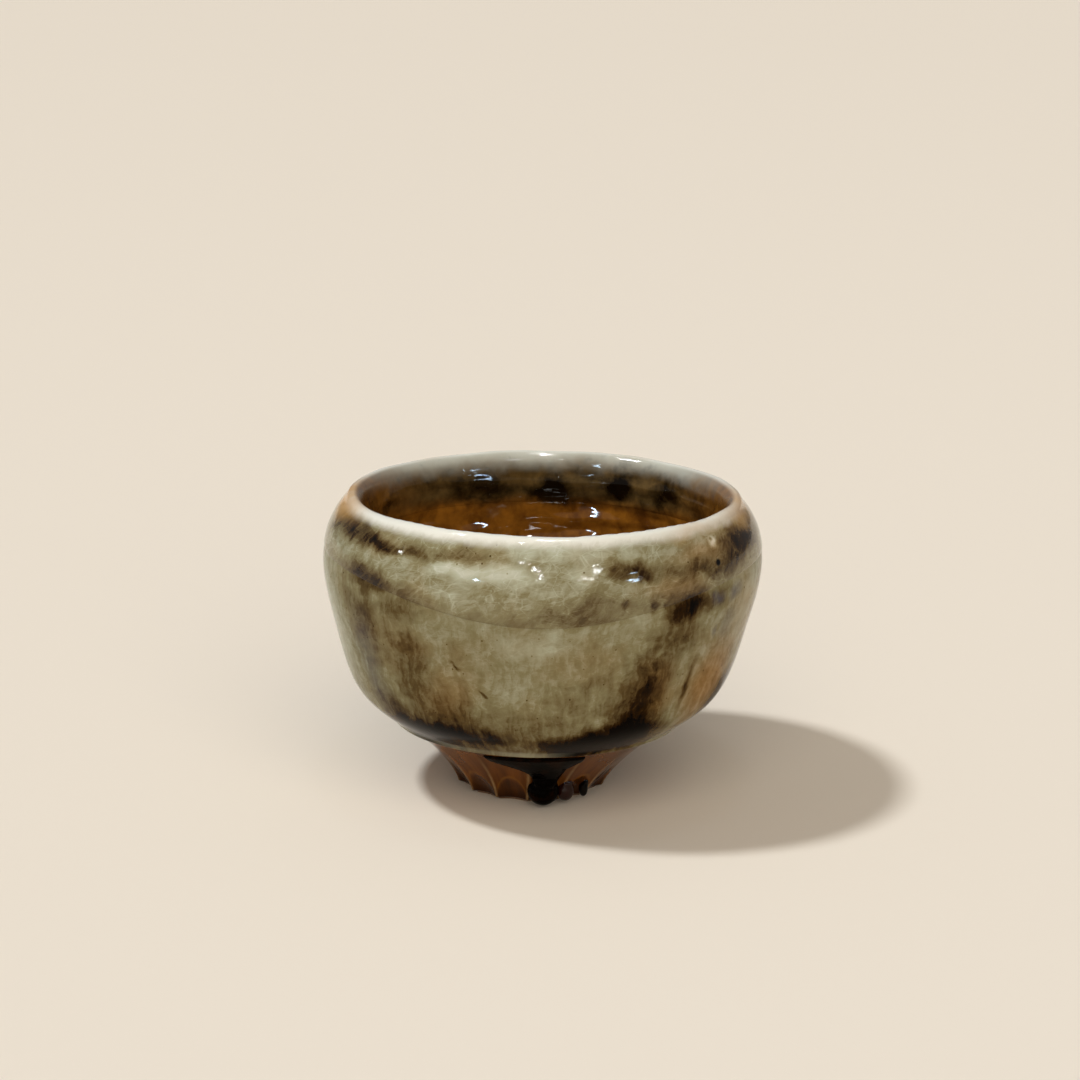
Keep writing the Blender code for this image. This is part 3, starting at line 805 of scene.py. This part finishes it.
# Noises: how often they repeat in a millimetre, their finer waves, how rough those are
MOTTLE = (1 / 2.2, 5.0, 0.62)
TONE = (1 / 9.0, 3.0, 0.55)
STROKE = (1 / 0.8, 3.0, 0.6)
PATCHES = (1 / 3.0, 2.0, 0.5)
INSIDE_MOTTLE = (1 / 2.6, 4.0, 0.6)
INSIDE_TONE = (1 / 8.0, 3.0, 0.6)
WASH_MOTTLE = (1 / 1.8, 5.0, 0.65)
WASH_STREAK = (1 / 5.0, 4.0, 0.6)

# Slants and stretches of the patterns
STROKE_SLANT = 0.8
STROKE_STRETCH = (1.0, 1.0, 0.16)
WASH_STRETCH = (1.0, 1.0, 0.3)
HAIR_STRETCH = (1.0, 1.0, 3.6)
CELL_SLANT = 0.7
CELL_STRETCH = (1.0, 1.0, 2.2)

# Crackle: the size of a cell, the spacing and width of the long hairs, and each kind of
# line between cells with its spacing, its width and how much of it shows
CELL_SIZE = 1.5
HAIR_LINES = (9.0, 0.05)
CELL_LINES = ((3.2, 0.04, 1.0), (1.5, 0.07, 0.4))

# Iron in glaze of even thickness, as a share of all that can show
EVEN_IRON = 0.37


def sway(tree, value, *patterns):
    """A value moved up and down by patterns, each with how far it moves it."""
    for pattern, reach in patterns:
        shift = add(tree, "subtract", pattern, 0.5)
        value = add(tree, "multiply_add", shift, reach, value)
    return value


def fired_colours(tree, iron, *stops):
    """The colour of the fired glaze by how much iron shows, in even steps."""
    ramp = add(tree, "ShaderNodeValToRGB", iron)
    elements = ramp.color_ramp.elements
    while len(elements) < len(stops):
        elements.new(0.5)
    for index, stop in enumerate(stops):
        elements[index].position = index / (len(stops) - 1)
        elements[index].color = (*stop, 1)
    return ramp


def on_this_coat(spots, dipped):
    """The spots that reach the dipped rim, or the wall below it."""
    if dipped:
        return [spot for spot in spots if spot[1] + spot[3] > DIP_LOWEST]
    return [spot for spot in spots if spot[1] - spot[3] < ASH_HIGHEST]


def crackle(tree, space):
    """Crackle like crushed ice: milky hairlines that show here and there, some of them
    long, and the tone of each cell between them."""
    curled = warp(tree, space.wheel, *CURL, detail=0.0)
    level = add(tree, "vector_multiply", curled, HAIR_STRETCH)
    veins = hairs(tree, level, *HAIR_LINES)
    wound = aslant(tree, space, curled, CELL_SLANT)
    flat = add(tree, "vector_multiply", wound, CELL_STRETCH)
    cells = add(tree, "cells", flat, 1 / CELL_SIZE).outputs["Color"]
    tone = add(tree, "split", cells).outputs["X"]
    for spacing, width, share in CELL_LINES:
        gaps = add(tree, "edges", flat, 1 / spacing)
        cracks = add(tree, "range", gaps, 0.0, width, share, 0.0)
        veins = add(tree, "maximum", veins, cracks)
    patches = add(tree, "noise", space.wheel, *PATCHES)
    here = add(tree, "range", patches, 0.38, 0.6, 0.25, 1.0)
    return add(tree, "multiply", veins, here), tone


def outside_glaze(tree, space, colours, dipped):
    """Wood-ash celadon fired over iron clay. Where it lies thick it is milky grey-green,
    where it ran thin the iron comes through in brown clouds and streaks."""
    node = partial(add, tree)
    drifted = warp(tree, space.wheel, *DRIFT)
    ragged = warp(tree, drifted, *RAGGED_DRIFT)
    mottle = node("noise", ragged, *MOTTLE)
    tone = node("noise", space.wheel, *TONE)
    lie = aslant(tree, space, ragged, STROKE_SLANT if dipped else 0.0)
    stretched = node("vector_multiply", lie, STROKE_STRETCH)
    stroke = node("noise", stretched, *STROKE)
    veins, cell = crackle(tree, space)

    # How much iron shows, less at the left and right edges as painted sheen, and more low on the
    # right partly as painted shade
    iron = clouds(tree, ragged, on_this_coat(IRON_CLOUDS_AND_PAINTED_LIGHT, dipped))
    for pattern in (mottle, stroke):
        blotch = node("range", pattern, 0.32, 0.68, 0.84, 1.16)
        iron = node("multiply", iron, blotch)
    facets = 0.07 if dipped else 0.03
    iron = sway(tree, iron, (mottle, 0.34), (stroke, 0.20), (tone, 0.22), (cell, facets))
    milky = -0.09 if dipped else -0.04
    iron = node("multiply_add", veins, milky, iron)
    dots = node("cells", space.wheel, 1 / 1.4)
    speck = node("range", dots, 0.05, 0.12, 0.35, 0.0)
    some = node("range", tone, 0.48, 0.6)
    iron = node("multiply_add", speck, some, iron)
    if dipped:
        from_end = node("attribute", attribute_name="from_end")
        pooled = node("range", from_end.outputs["Fac"], 0.0, 2.5, 0.09, 0.0)
        iron = node("add", iron, pooled)
    iron = node("add", iron, EVEN_IRON, use_clamp=True)

    # Grey-green where it cooled in smoke, tan where it was toasted
    full = (colours.iron, colours.black)
    grey = (colours.milk, colours.pale_celadon, colours.celadon, colours.olive)
    brown = (colours.cream, colours.tan, colours.ochre, colours.rust)
    cool = fired_colours(tree, iron, *grey, *full)
    toasted = fired_colours(tree, iron, *brown, *full)
    warmth = clouds(tree, ragged, on_this_coat(WARM_CLOUDS, dipped))
    drift = node("subtract", tone, 0.5)
    warm = node("multiply_add", drift, 1.0, warmth, use_clamp=True)
    ground = node("paint", warm, cool, toasted)
    slate = clouds(tree, ragged, on_this_coat(SLATE_CLOUDS, dipped))
    broken = node("multiply", slate, mottle)
    bluish = node("multiply", broken, 1.4, use_clamp=True)
    ground = node("paint", bluish, ground, colours.slate)
    relief = node("multiply_add", veins, -0.3, mottle)
    return ground, relief, mottle, stroke


def roll_glaze_and_highlight(tree, space, colours, ground):
    """The roll over the foot, where the glaze gathered: a thin milky line, made paler still as a
    painted highlight where the roll's upper side faces the light.
    """
    line = add(tree, "ease", space.height, *ROLL_LINE, 0.0, 0.9)
    gathered_and_lit = clouds(tree, warp(tree, space.wheel, *ROLL_DRIFT), ROLL_PALE_AND_HIGHLIGHT)
    milky = add(tree, "multiply", line, gathered_and_lit, use_clamp=True)
    return add(tree, "paint", milky, ground, colours.pale_celadon)


def lip_glaze(tree, space, colours, ground, mottle, stroke):
    """Glaze drawn thin over the lip: pale and milky, toasted tan at the sides."""
    node = partial(add, tree)
    level = sway(tree, space.height, (mottle, 1.0), (stroke, 0.4))
    lip = node("ease", level, *LIP_PALE, 0.0, 0.95)
    ground = node("paint", lip, ground, colours.lip)
    toast = clouds(tree, warp(tree, space.wheel, *DRIFT), TOASTED_LIP)
    tanned = node("multiply", toast, 0.95, use_clamp=True)
    ground = node("paint", tanned, ground, colours.toast)
    hole = clouds(tree, space.wheel, PINHOLE)
    pin = node("multiply", hole, 2.0, use_clamp=True)
    return node("paint", pin, ground, colours.black)


def inside_glaze(tree, space, colours):
    """Amber iron liner, dark and olive where the dip covers it, grey-green at the lip."""
    node = partial(add, tree)
    drifted = warp(tree, space.plain, *DRIFT)
    mottle = node("noise", drifted, *INSIDE_MOTTLE)
    tone = node("noise", drifted, *INSIDE_TONE)
    level = sway(tree, space.height, (tone, 3.5))
    thin = node("range", node("add", tone, mottle), 0.75, 1.25)
    ground = node("paint", thin, colours.amber, colours.deep_amber)
    smoky = node("paint", thin, colours.olive, colours.smoke)
    backward = node("split", space.wheel).outputs["Y"]
    thick = node("ease", backward, *THICK_AT_BACK)
    shade = node("ease", level, *LINER_COVERED, 0.0, 0.9)
    covered = node("multiply", shade, thick)
    ground = node("paint", covered, ground, smoky)
    drawn = node("ease", level, *INSIDE_PALE, 0.0, 0.8)
    pale = node("multiply", drawn, thick)
    ground = node("paint", pale, ground, colours.milk)
    spots = clouds(tree, warp(tree, space.wheel, *SPOT_DRIFT), INSIDE_CLOUDS)
    broken = sway(tree, spots, (mottle, 1.0))
    dark = node("range", broken, 0.1, 0.8, 0.0, 0.95)
    ground = node("paint", dark, ground, colours.black)
    return ground, mottle


def new_finish(name):
    material = bpy.data.materials.new(name)
    material.use_nodes = True
    return material, material.node_tree, material.node_tree.nodes["Principled BSDF"]


def surface(tree, shader, ground, rough, relief, bump, depth):
    """Give a shader its colour, its roughness and a relief of some millimetres."""
    wave = add(tree, "ShaderNodeBump", bump, depth * MM)
    tree.links.new(relief.outputs[0], wave.inputs["Height"])
    tree.links.new(ground.outputs[2], shader.inputs["Base Color"])
    tree.links.new(rough.outputs[0], shader.inputs["Roughness"])
    tree.links.new(wave.outputs[0], shader.inputs["Normal"])


# Fired gloss: its refraction, the strength of its relief, and its haze by the mottling
GLAZE_IOR = 1.5
GLAZE_BUMP = 0.35
HAZE = (0.3, 0.75, 0.02, 0.07)


def glossy(tree, shader, ground, relief, mottle, depth, gloss):
    """Fired gloss: mirror-like, a little hazy where the glaze is mottled."""
    rough = add(tree, "range", mottle, *HAZE)
    surface(tree, shader, ground, rough, relief, GLAZE_BUMP, depth)
    shader.inputs["IOR"].default_value = GLAZE_IOR
    shader.inputs["Specular IOR Level"].default_value = gloss


def ash_finish(colours):
    """Wood-ash glaze, poured and run: glossy, streaked down the wall, iron clouds."""
    material, tree, shader = new_finish("wood_ash_glaze")
    space = WheelSpace(tree)
    ground, relief, mottle, _ = outside_glaze(tree, space, colours, dipped=False)
    ground = roll_glaze_and_highlight(tree, space, colours, ground)
    glossy(tree, shader, ground, relief, mottle, depth=0.06, gloss=0.03)
    return material


def celadon_finish(colours):
    """Celadon over ash, dipped: glossy and crackled, pale over the lip, dark inside."""
    material, tree, shader = new_finish("crackled_celadon_glaze")
    space = WheelSpace(tree)
    ground, relief, mottle, stroke = outside_glaze(tree, space, colours, dipped=True)
    ground = lip_glaze(tree, space, colours, ground, mottle, stroke)
    inner, _ = inside_glaze(tree, space, colours)
    inward = add(tree, "ease", space.radius, *INSIDE_RADII)
    ground = add(tree, "paint", inward, ground, inner)
    glossy(tree, shader, ground, relief, mottle, depth=0.06, gloss=0.25)
    return material


def liner_finish(colours):
    """Iron liner glaze, poured: a deep glossy amber with darker runs."""
    material, tree, shader = new_finish("amber_liner_glaze")
    space = WheelSpace(tree)
    ground, mottle = inside_glaze(tree, space, colours)
    glossy(tree, shader, ground, mottle, mottle, depth=0.06, gloss=0.5)
    return material


def foot_finish(colours):
    """Thin iron wash, brushed over the knife cuts: a glossy amber brown, darker in the hollows,
    where the wash lies thick and shade is painted, and towards the table, drawn thin and pale along
    the ridges."""
    material, tree, shader = new_finish("iron_wash_glaze")
    node = partial(add, tree)
    space = WheelSpace(tree)
    inside = node("attribute", attribute_name="flute").outputs["Fac"]
    off_ridge = node("attribute", attribute_name="ridge").outputs["Fac"]
    mottle = node("noise", space.plain, *WASH_MOTTLE)
    stretched = node("vector_multiply", space.wheel, WASH_STRETCH)
    streak = node("noise", stretched, *WASH_STREAK)
    tone = node("range", streak, 0.35, 0.7, 0.0, 0.8)
    ground = node("paint", tone, colours.foot, colours.foot_dark)
    # Darker in the hollows of the knife cuts: thick wash pooled there, and painted shade
    hollow = node("range", inside, 0.0, 0.2, 0.0, 0.55)
    ground = node("paint", hollow, ground, colours.foot_dark)
    arch = node("range", node("absolute", inside), 0.0, 0.1, 0.7, 0.0)
    drawn = node("multiply", arch, mottle)
    ground = node("paint", drawn, ground, colours.amber)
    low = node("range", space.height, 2.6, 0.8, 0.0, 0.8)
    ground = node("paint", low, ground, colours.foot_dark)
    edge = node("range", off_ridge, 0.0, 0.2, 1.0, 0.0)
    fade = node("range", space.height, 3.0, 9.5, 1.2, 0.0)
    worn = node("multiply", edge, fade)
    ridge = node("multiply", worn, mottle, use_clamp=True)
    ground = node("paint", ridge, ground, colours.ridge)
    glossy(tree, shader, ground, streak, mottle, depth=0.05, gloss=0.06)
    return material


# Spacing of the fine ripples on the run glaze, in millimetres
RIPPLE = 0.6


def run_finish(name, ground_colour, tint, grain, gloss):
    """Glaze that ran thick: wet-looking and almost black, lighter where it is thin, with
    fine ripples that break a reflected lamp into sparkles."""
    material, tree, shader = new_finish(name)
    place = add(tree, "ShaderNodeTexCoord").outputs["Object"]
    noise = add(tree, "noise", place, 1 / (grain * MM), 3.0, 0.6)
    weight = add(tree, "range", noise, 0.5, 0.75, 0.0, 0.6)
    ground = add(tree, "paint", weight, ground_colour, tint)
    ripples = add(tree, "noise", place, 1 / (RIPPLE * MM), 2.0, 0.5)
    glossy(tree, shader, ground, ripples, noise, depth=0.05, gloss=gloss)
    return material


def clay_finish(name, ground_colour, grit):
    """Unglazed stoneware: matt and toasted, with fine sand and darker iron grit."""
    material, tree, shader = new_finish(name)
    place = add(tree, "ShaderNodeTexCoord").outputs["Object"]
    sand = add(tree, "noise", place, 1 / (grit * MM), 6.0, 0.7)
    flash = add(tree, "noise", place, 1 / (9.0 * MM), 3.0, 0.5)
    dark = tuple(0.55 * channel for channel in ground_colour)
    toast = add(tree, "range", flash, 0.35, 0.65)
    ground = add(tree, "paint", toast, ground_colour, dark)
    cells = add(tree, "cells", place, 1 / (1.1 * MM))
    speck = add(tree, "range", cells, 0.1, 0.2, 0.8, 0.0)
    ground = add(tree, "paint", speck, ground, linear("#3a2a1c"))
    rough = add(tree, "range", sand, 0.3, 0.7, 0.72, 0.92)
    surface(tree, shader, ground, rough, sand, 0.5, 0.12)
    return material


# Soft drops of run glaze: turns in degrees, sizes in millimetres

RUN_TURN = 7.0
AMBER_TURN = 23.0
SIDE_TURN = 39.0
VOXEL = 0.16 * MM

# The run from the bowl down to the bead: heights on the foot, half widths and turns
RUN_SHAPE = (
    (10.2, 7.2, -1.0),
    (9.4, 6.6, 0.0),
    (8.6, 4.7, 2.0),
    (7.8, 3.2, 4.0),
    (6.8, 2.2, 6.0),
    (5.6, 1.5, 7.0),
    (4.4, 1.2, 7.0),
)

# Spacing of its rows and of its lumps, its depth at the sides and what the middle adds,
# and half the width and height of a lump
RUN_ROW = 0.35
RUN_LUMP = 0.7
RUN_DEPTH = (0.2, 0.85)
LUMP_HALVES = (0.9, 0.6)

# The bead at its end and what leads into it: height, stand-off, and half its width,
# height and depth
BEAD_LUMPS = (
    (4.9, 0.15, 1.9, 1.7, 1.5),
    (2.85, 0.5, 2.45, 2.4, 2.2),
)


def on_foot(sizes, turn, height, away):
    """A point in space off the washed foot: turn in degrees, millimetres up and out."""
    angle = math.radians(turn)
    level = height * MM
    radius = foot_radius(sizes, level) + WASH_FACE + away * MM
    bend = LEAN * (level - BELLY_HEIGHT) - FOOT_SHIFT * max(0.0, 1 - level / EDGE_HEIGHT)
    return Vector((radius * math.sin(angle) + bend, -radius * math.cos(angle), level))


def melt(context, name, sizes, lumps, material):
    """One soft body of glaze from overlapping lumps. Each lump is its turn in degrees,
    its height and stand-off, and half its width, height and depth in millimetres."""
    mesh = bmesh.new()
    for turn, height, away, wide, tall, deep in lumps:
        place = Matrix.Translation(on_foot(sizes, turn, height, away))
        spin = Matrix.Rotation(math.radians(turn), 4, "Z")
        shape = Matrix.Diagonal((wide * MM, deep * MM, tall * MM, 1.0))
        bmesh.ops.create_icosphere(mesh, subdivisions=3, radius=1.0, matrix=place @ spin @ shape)
    data = bpy.data.meshes.new(name)
    mesh.to_mesh(data)
    mesh.free()
    data.materials.append(material)
    obj = bpy.data.objects.new(name, data)
    context.scene.collection.objects.link(obj)
    remesh = obj.modifiers.new("Melt", "REMESH")
    remesh.mode = "VOXEL"
    remesh.voxel_size = VOXEL
    remesh.use_smooth_shade = True
    smooth = obj.modifiers.new("Soften", "SMOOTH")
    smooth.factor = 0.5
    smooth.iterations = 12
    bake_modifiers(context, obj)
    return obj


def run_lumps(sizes):
    """The pool under the bowl, which narrows to a neck, and the bead at the end."""
    lumps = []
    for high, low in zip(RUN_SHAPE, RUN_SHAPE[1:]):
        rows = math.ceil((high[0] - low[0]) / RUN_ROW)
        for row in range(rows):
            height, half, turn = (a + (b - a) * row / rows for a, b in zip(high, low))
            degrees = math.degrees(half * MM / foot_radius(sizes, height * MM))
            count = math.ceil(half / RUN_LUMP)
            for step in range(-count, count + 1):
                share = step / (count + 0.5)
                deep = RUN_DEPTH[0] + RUN_DEPTH[1] * math.sqrt(1 - share * share)
                lumps.append((turn + degrees * share, height, 0.0, *LUMP_HALVES, deep))
    return lumps + [(RUN_TURN, *lump) for lump in BEAD_LUMPS]


class TEACUP_OT_clay(bpy.types.Operator):
    """Give the bare clay of the bowl, the foot ring and their joint its fired finish"""

    bl_idname = "tea_cup.clay"
    bl_label = "Clay"

    def execute(self, context):
        colours = context.scene.tea_cup_colours
        bare = (
            ("bowl_wall", "fired_stoneware", colours.clay, 0.5),
            ("foot_ring", "fired_foot_stoneware", colours.clay, 0.6),
            ("slip_seam", "joining_slip", colours.slip, 0.4),
        )
        for node, name, ground, grit in bare:
            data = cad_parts[node].data
            finish = clay_finish(name, ground, grit)
            if not data.materials:
                data.materials.append(finish)
            for index in range(len(data.materials)):
                data.materials[index] = finish
        return {"FINISHED"}


class TEACUP_OT_ash_coat(bpy.types.Operator):
    """Turn the coat of ash glaze on the outside of the bowl"""

    bl_idname = "tea_cup.ash_coat"
    bl_label = "Ash coat"

    def execute(self, context):
        coat = bowl_coat(
            context,
            "ash_coat",
            ash_finish,
            low=("edge", -1.2 * MM),
            high=("lip", -LIP_BARE),
            underside=CLEAR,
            face=COAT_FACE - DIP_FILM - FILM_GAP,
            run_off=0.25 * MM,
            run_length=30.0 * MM,
            roll=context.scene.tea_cup_sizes.edge_roll,
            low_round=1.0 * MM,
            high_round=0.8 * MM,
            rows=261,
        )
        place_piece(coat, "ash_glaze", "outer_glaze")
        return {"FINISHED"}


class TEACUP_OT_dip_coat(bpy.types.Operator):
    """Turn the coat of celadon into which the rim was dipped"""

    bl_idname = "tea_cup.dip_coat"
    bl_label = "Dip coat"

    def execute(self, context):
        sizes = context.scene.tea_cup_sizes
        coat = bowl_coat(
            context,
            "celadon_coat",
            celadon_finish,
            low=("lip", -sizes.dip_outside),
            high=("lip", sizes.dip_inside),
            sag=sizes.dip_sag,
            underside=COAT_FACE - DIP_FILM,
            underside_at_lip=CLEAR,
            face=COAT_FACE,
            face_at_lip=LIP_FACE,
            low_round=0.9 * MM,
            high_round=0.9 * MM,
            rings_inside=sizes.rings_inside,
            rows=251,
        )
        place_piece(coat, "celadon", "dip_glaze")
        return {"FINISHED"}


class TEACUP_OT_liner(bpy.types.Operator):
    """Turn the liner glaze inside the bowl"""

    bl_idname = "tea_cup.liner"
    bl_label = "Liner"

    def execute(self, context):
        coat = bowl_coat(
            context,
            "liner_coat",
            liner_finish,
            low=("lip", LIP_BARE),
            high=("floor", 0.0),
            underside=CLEAR,
            face=COAT_FACE - DIP_FILM - FILM_GAP,
            low_round=0.8 * MM,
            high_round=SMALLEST,
            rings_inside=context.scene.tea_cup_sizes.rings_inside,
            rows=221,
        )
        place_piece(coat, "liner", "liner_glaze")
        return {"FINISHED"}


class TEACUP_OT_foot_coat(bpy.types.Operator):
    """Turn the fluted iron wash on the foot"""

    bl_idname = "tea_cup.foot_coat"
    bl_label = "Foot coat"

    def execute(self, context):
        sizes = context.scene.tea_cup_sizes
        points = foot_line(sizes)
        coat = turn_coat(
            context,
            "foot_coat",
            points,
            foot_finish(context.scene.tea_cup_colours),
            low_end=0.6 * MM,
            high_end=line_length(points) - 1.0 * MM,
            underside=CLEAR,
            face=WASH_FACE,
            low_round=0.5 * MM,
            high_round=0.5 * MM,
            flutes=sizes.flutes,
            flute_depth=sizes.flute_depth,
            flute_top=sizes.flute_top,
            flute_end=0.95 * FOOT_HEIGHT,
            waver=0.5 * sizes.waver,
            turns=FOOT_TURNS_PER_FLUTE * sizes.flutes + 1,
            rows=161,
        )
        place_piece(coat, "iron_wash", "foot_glaze")
        return {"FINISHED"}


class TEACUP_OT_run(bpy.types.Operator):
    """Melt the dark pool under the bowl and the bead that hangs from it"""

    bl_idname = "tea_cup.run"
    bl_label = "Glaze run"

    def execute(self, context):
        sizes = context.scene.tea_cup_sizes
        colours = context.scene.tea_cup_colours
        pool = run_finish("pooled_black_glaze", colours.run, colours.foot_dark, 3.0, 0.015)
        run = melt(context, "run_and_bead", sizes, run_lumps(sizes), pool)
        place_piece(run, "run_glaze", "glaze_run")
        return {"FINISHED"}


class TEACUP_OT_drops(bpy.types.Operator):
    """Melt the two small drops beside the run"""

    bl_idname = "tea_cup.drops"
    bl_label = "Small drops"

    def execute(self, context):
        sizes = context.scene.tea_cup_sizes
        colours = context.scene.tea_cup_colours
        drops = (
            (
                "amber_drop",
                "amber_glaze",
                "amber_bead",
                run_finish("amber_drop_glaze", colours.drop, colours.black, 2.0, 0.3),
                [
                    (AMBER_TURN, 2.4, 0.35, 1.4, 1.75, 1.25),
                    (AMBER_TURN, 3.5, 0.1, 0.9, 1.1, 0.75),
                ],
            ),
            (
                "side_drop",
                "dark_glaze",
                "side_bead",
                run_finish("dark_drop_glaze", colours.run, colours.drop, 2.0, 0.15),
                [
                    (SIDE_TURN, 1.95, 0.15, 0.78, 1.4, 0.75),
                    (SIDE_TURN, 2.9, 0.0, 0.5, 0.9, 0.5),
                ],
            ),
        )
        for name, slot, node, finish, lumps in drops:
            drop = melt(context, name, sizes, lumps, finish)
            place_piece(drop, slot, node)
        return {"FINISHED"}


# Studio: half the floor's width, the tints of the lamps, and where the camera stands

FLOOR_REACH = 8.0
SKY_TINT = (1.0, 0.97, 0.93, 1)
DAY = (0.93, 0.98, 1.0)
WARM = (1.0, 0.9, 0.74)
WINDOW = (0.26, 0.36, 0.46)
KEY_PLACE = (-0.587, -0.05, 1.0)
FILL_PLACE = (0.12, -1.0, 0.75)
CAMERA_PLACE = (-0.00045, -0.3595, 0.1288)
CAMERA_PITCH = math.radians(14.05)
CAMERA_ROLL = math.radians(0.6)

# Small lamps that only show as glints: width, height, tint and place
GLINTS = (
    (0.032, 0.032, DAY, (-0.045, -0.823, 0.654)),
    (0.032, 0.032, DAY, (-0.016, -0.920, 0.502)),
    (0.028, 0.028, DAY, (0.420, -0.745, 0.611)),
    (0.120, 0.016, DAY, (0.372, -0.860, 0.470)),
    (0.030, 0.030, DAY, (-0.160, -0.726, 0.747)),
    (0.018, 0.018, DAY, (-0.918, -0.066, 0.491)),
    (0.120, 0.120, DAY, (0.048, -0.106, 1.036)),
    (0.090, 0.060, WINDOW, (0.691, -0.652, 0.267)),
    (0.060, 0.050, WINDOW, (-0.528, -0.781, 0.295)),
)


class TEACUP_OT_stage(bpy.types.Operator):
    """Set the studio floor, the lamps and the camera"""

    bl_idname = "tea_cup.stage"
    bl_label = "Stage"

    def execute(self, context):
        scene = context.scene
        stage = scene.tea_cup_stage
        scene.view_settings.view_transform = "Standard"
        floor = bpy.data.meshes.new("floor")
        corners = ((-1, -1), (1, -1), (1, 1), (-1, 1))
        floor.from_pydata(
            [(FLOOR_REACH * x, FLOOR_REACH * y, 0) for x, y in corners], [], [(0, 1, 2, 3)]
        )
        material, _, shader = new_finish("plain_floor")
        shader.inputs["Base Color"].default_value = (*stage.floor, 1)
        shader.inputs["Roughness"].default_value = 0.9
        floor.materials.append(material)
        ground = bpy.data.objects.new("floor", floor)
        scene.collection.objects.link(ground)

        world = bpy.data.worlds.new("studio")
        world.use_nodes = True
        scene.world = world
        sky = world.node_tree.nodes["Background"]
        sky.inputs["Color"].default_value = SKY_TINT
        sky.inputs["Strength"].default_value = stage.sky

        # Each lamp with its place, whether it lights the walls and whether it is mirrored
        lamps = []
        suns = (
            ("key_light", stage.key, DAY, 6, KEY_PLACE, True),
            ("fill_light", stage.fill, WARM, 60, FILL_PLACE, False),
        )
        for name, energy, tint, degrees, place, mirrored in suns:
            sun = bpy.data.lights.new(name, "SUN")
            sun.energy = energy
            sun.color = tint
            sun.angle = math.radians(degrees)
            lamps.append((sun, place, True, mirrored))
        for wide, tall, tint, place in GLINTS:
            glint = bpy.data.lights.new("glint_lamp", "AREA")
            glint.energy = stage.glint * wide * tall
            glint.color = tint
            glint.shape = "ELLIPSE"
            glint.size = wide
            glint.size_y = tall
            lamps.append((glint, place, False, True))
        for light, place, lights_walls, mirrored in lamps:
            lamp = bpy.data.objects.new(light.name, light)
            lamp.location = place
            lamp.rotation_euler = Vector(place).to_track_quat("Z", "Y").to_euler()
            lamp.visible_diffuse = lights_walls
            lamp.visible_glossy = mirrored
            scene.collection.objects.link(lamp)

        lens = bpy.data.cameras.new("photo_camera")
        lens.lens = stage.lens
        lens.sensor_width = 36.0
        camera = bpy.data.objects.new("photo_camera", lens)
        camera.matrix_world = (
            Matrix.Translation(CAMERA_PLACE)
            @ Matrix.Rotation(math.pi / 2 - CAMERA_PITCH, 4, "X")
            @ Matrix.Rotation(CAMERA_ROLL, 4, "Z")
        )
        scene.collection.objects.link(camera)
        scene.camera = camera
        return {"FINISHED"}


PIECE_OPERATORS = (
    TEACUP_OT_clay,
    TEACUP_OT_ash_coat,
    TEACUP_OT_dip_coat,
    TEACUP_OT_liner,
    TEACUP_OT_foot_coat,
    TEACUP_OT_run,
    TEACUP_OT_drops,
    TEACUP_OT_stage,
)


class TEACUP_PT_pieces(bpy.types.Panel):
    """Lists the cup's pieces in the sidebar"""

    bl_idname = "TEACUP_PT_pieces"
    bl_label = "Tea Cup"
    bl_space_type = "VIEW_3D"
    bl_region_type = "UI"
    bl_category = "Tea Cup"

    def draw(self, context):
        for operator in PIECE_OPERATORS:
            self.layout.operator(operator.bl_idname)
        for group in ("tea_cup_sizes", "tea_cup_colours", "tea_cup_stage"):
            settings = getattr(context.scene, group)
            box = self.layout.box()
            for name in settings.__annotations__:
                box.prop(settings, name)


CLASSES = (
    TeaCupSizes,
    TeaCupColours,
    TeaCupStage,
    *PIECE_OPERATORS,
    TEACUP_PT_pieces,
)


def register():
    for cls in CLASSES:
        bpy.utils.register_class(cls)
    bpy.types.Scene.tea_cup_sizes = bpy.props.PointerProperty(type=TeaCupSizes)
    bpy.types.Scene.tea_cup_colours = bpy.props.PointerProperty(type=TeaCupColours)
    bpy.types.Scene.tea_cup_stage = bpy.props.PointerProperty(type=TeaCupStage)


def unregister():
    del bpy.types.Scene.tea_cup_stage
    del bpy.types.Scene.tea_cup_colours
    del bpy.types.Scene.tea_cup_sizes
    for cls in reversed(CLASSES):
        bpy.utils.unregister_class(cls)


def main():
    register()
    bpy.ops.tea_cup.clay()
    bpy.ops.tea_cup.ash_coat()
    bpy.ops.tea_cup.dip_coat()
    bpy.ops.tea_cup.liner()
    bpy.ops.tea_cup.foot_coat()
    bpy.ops.tea_cup.run()
    bpy.ops.tea_cup.drops()
    bpy.ops.tea_cup.stage()
    bpy.context.view_layer.update()


if __name__ == "__main__":
    main()
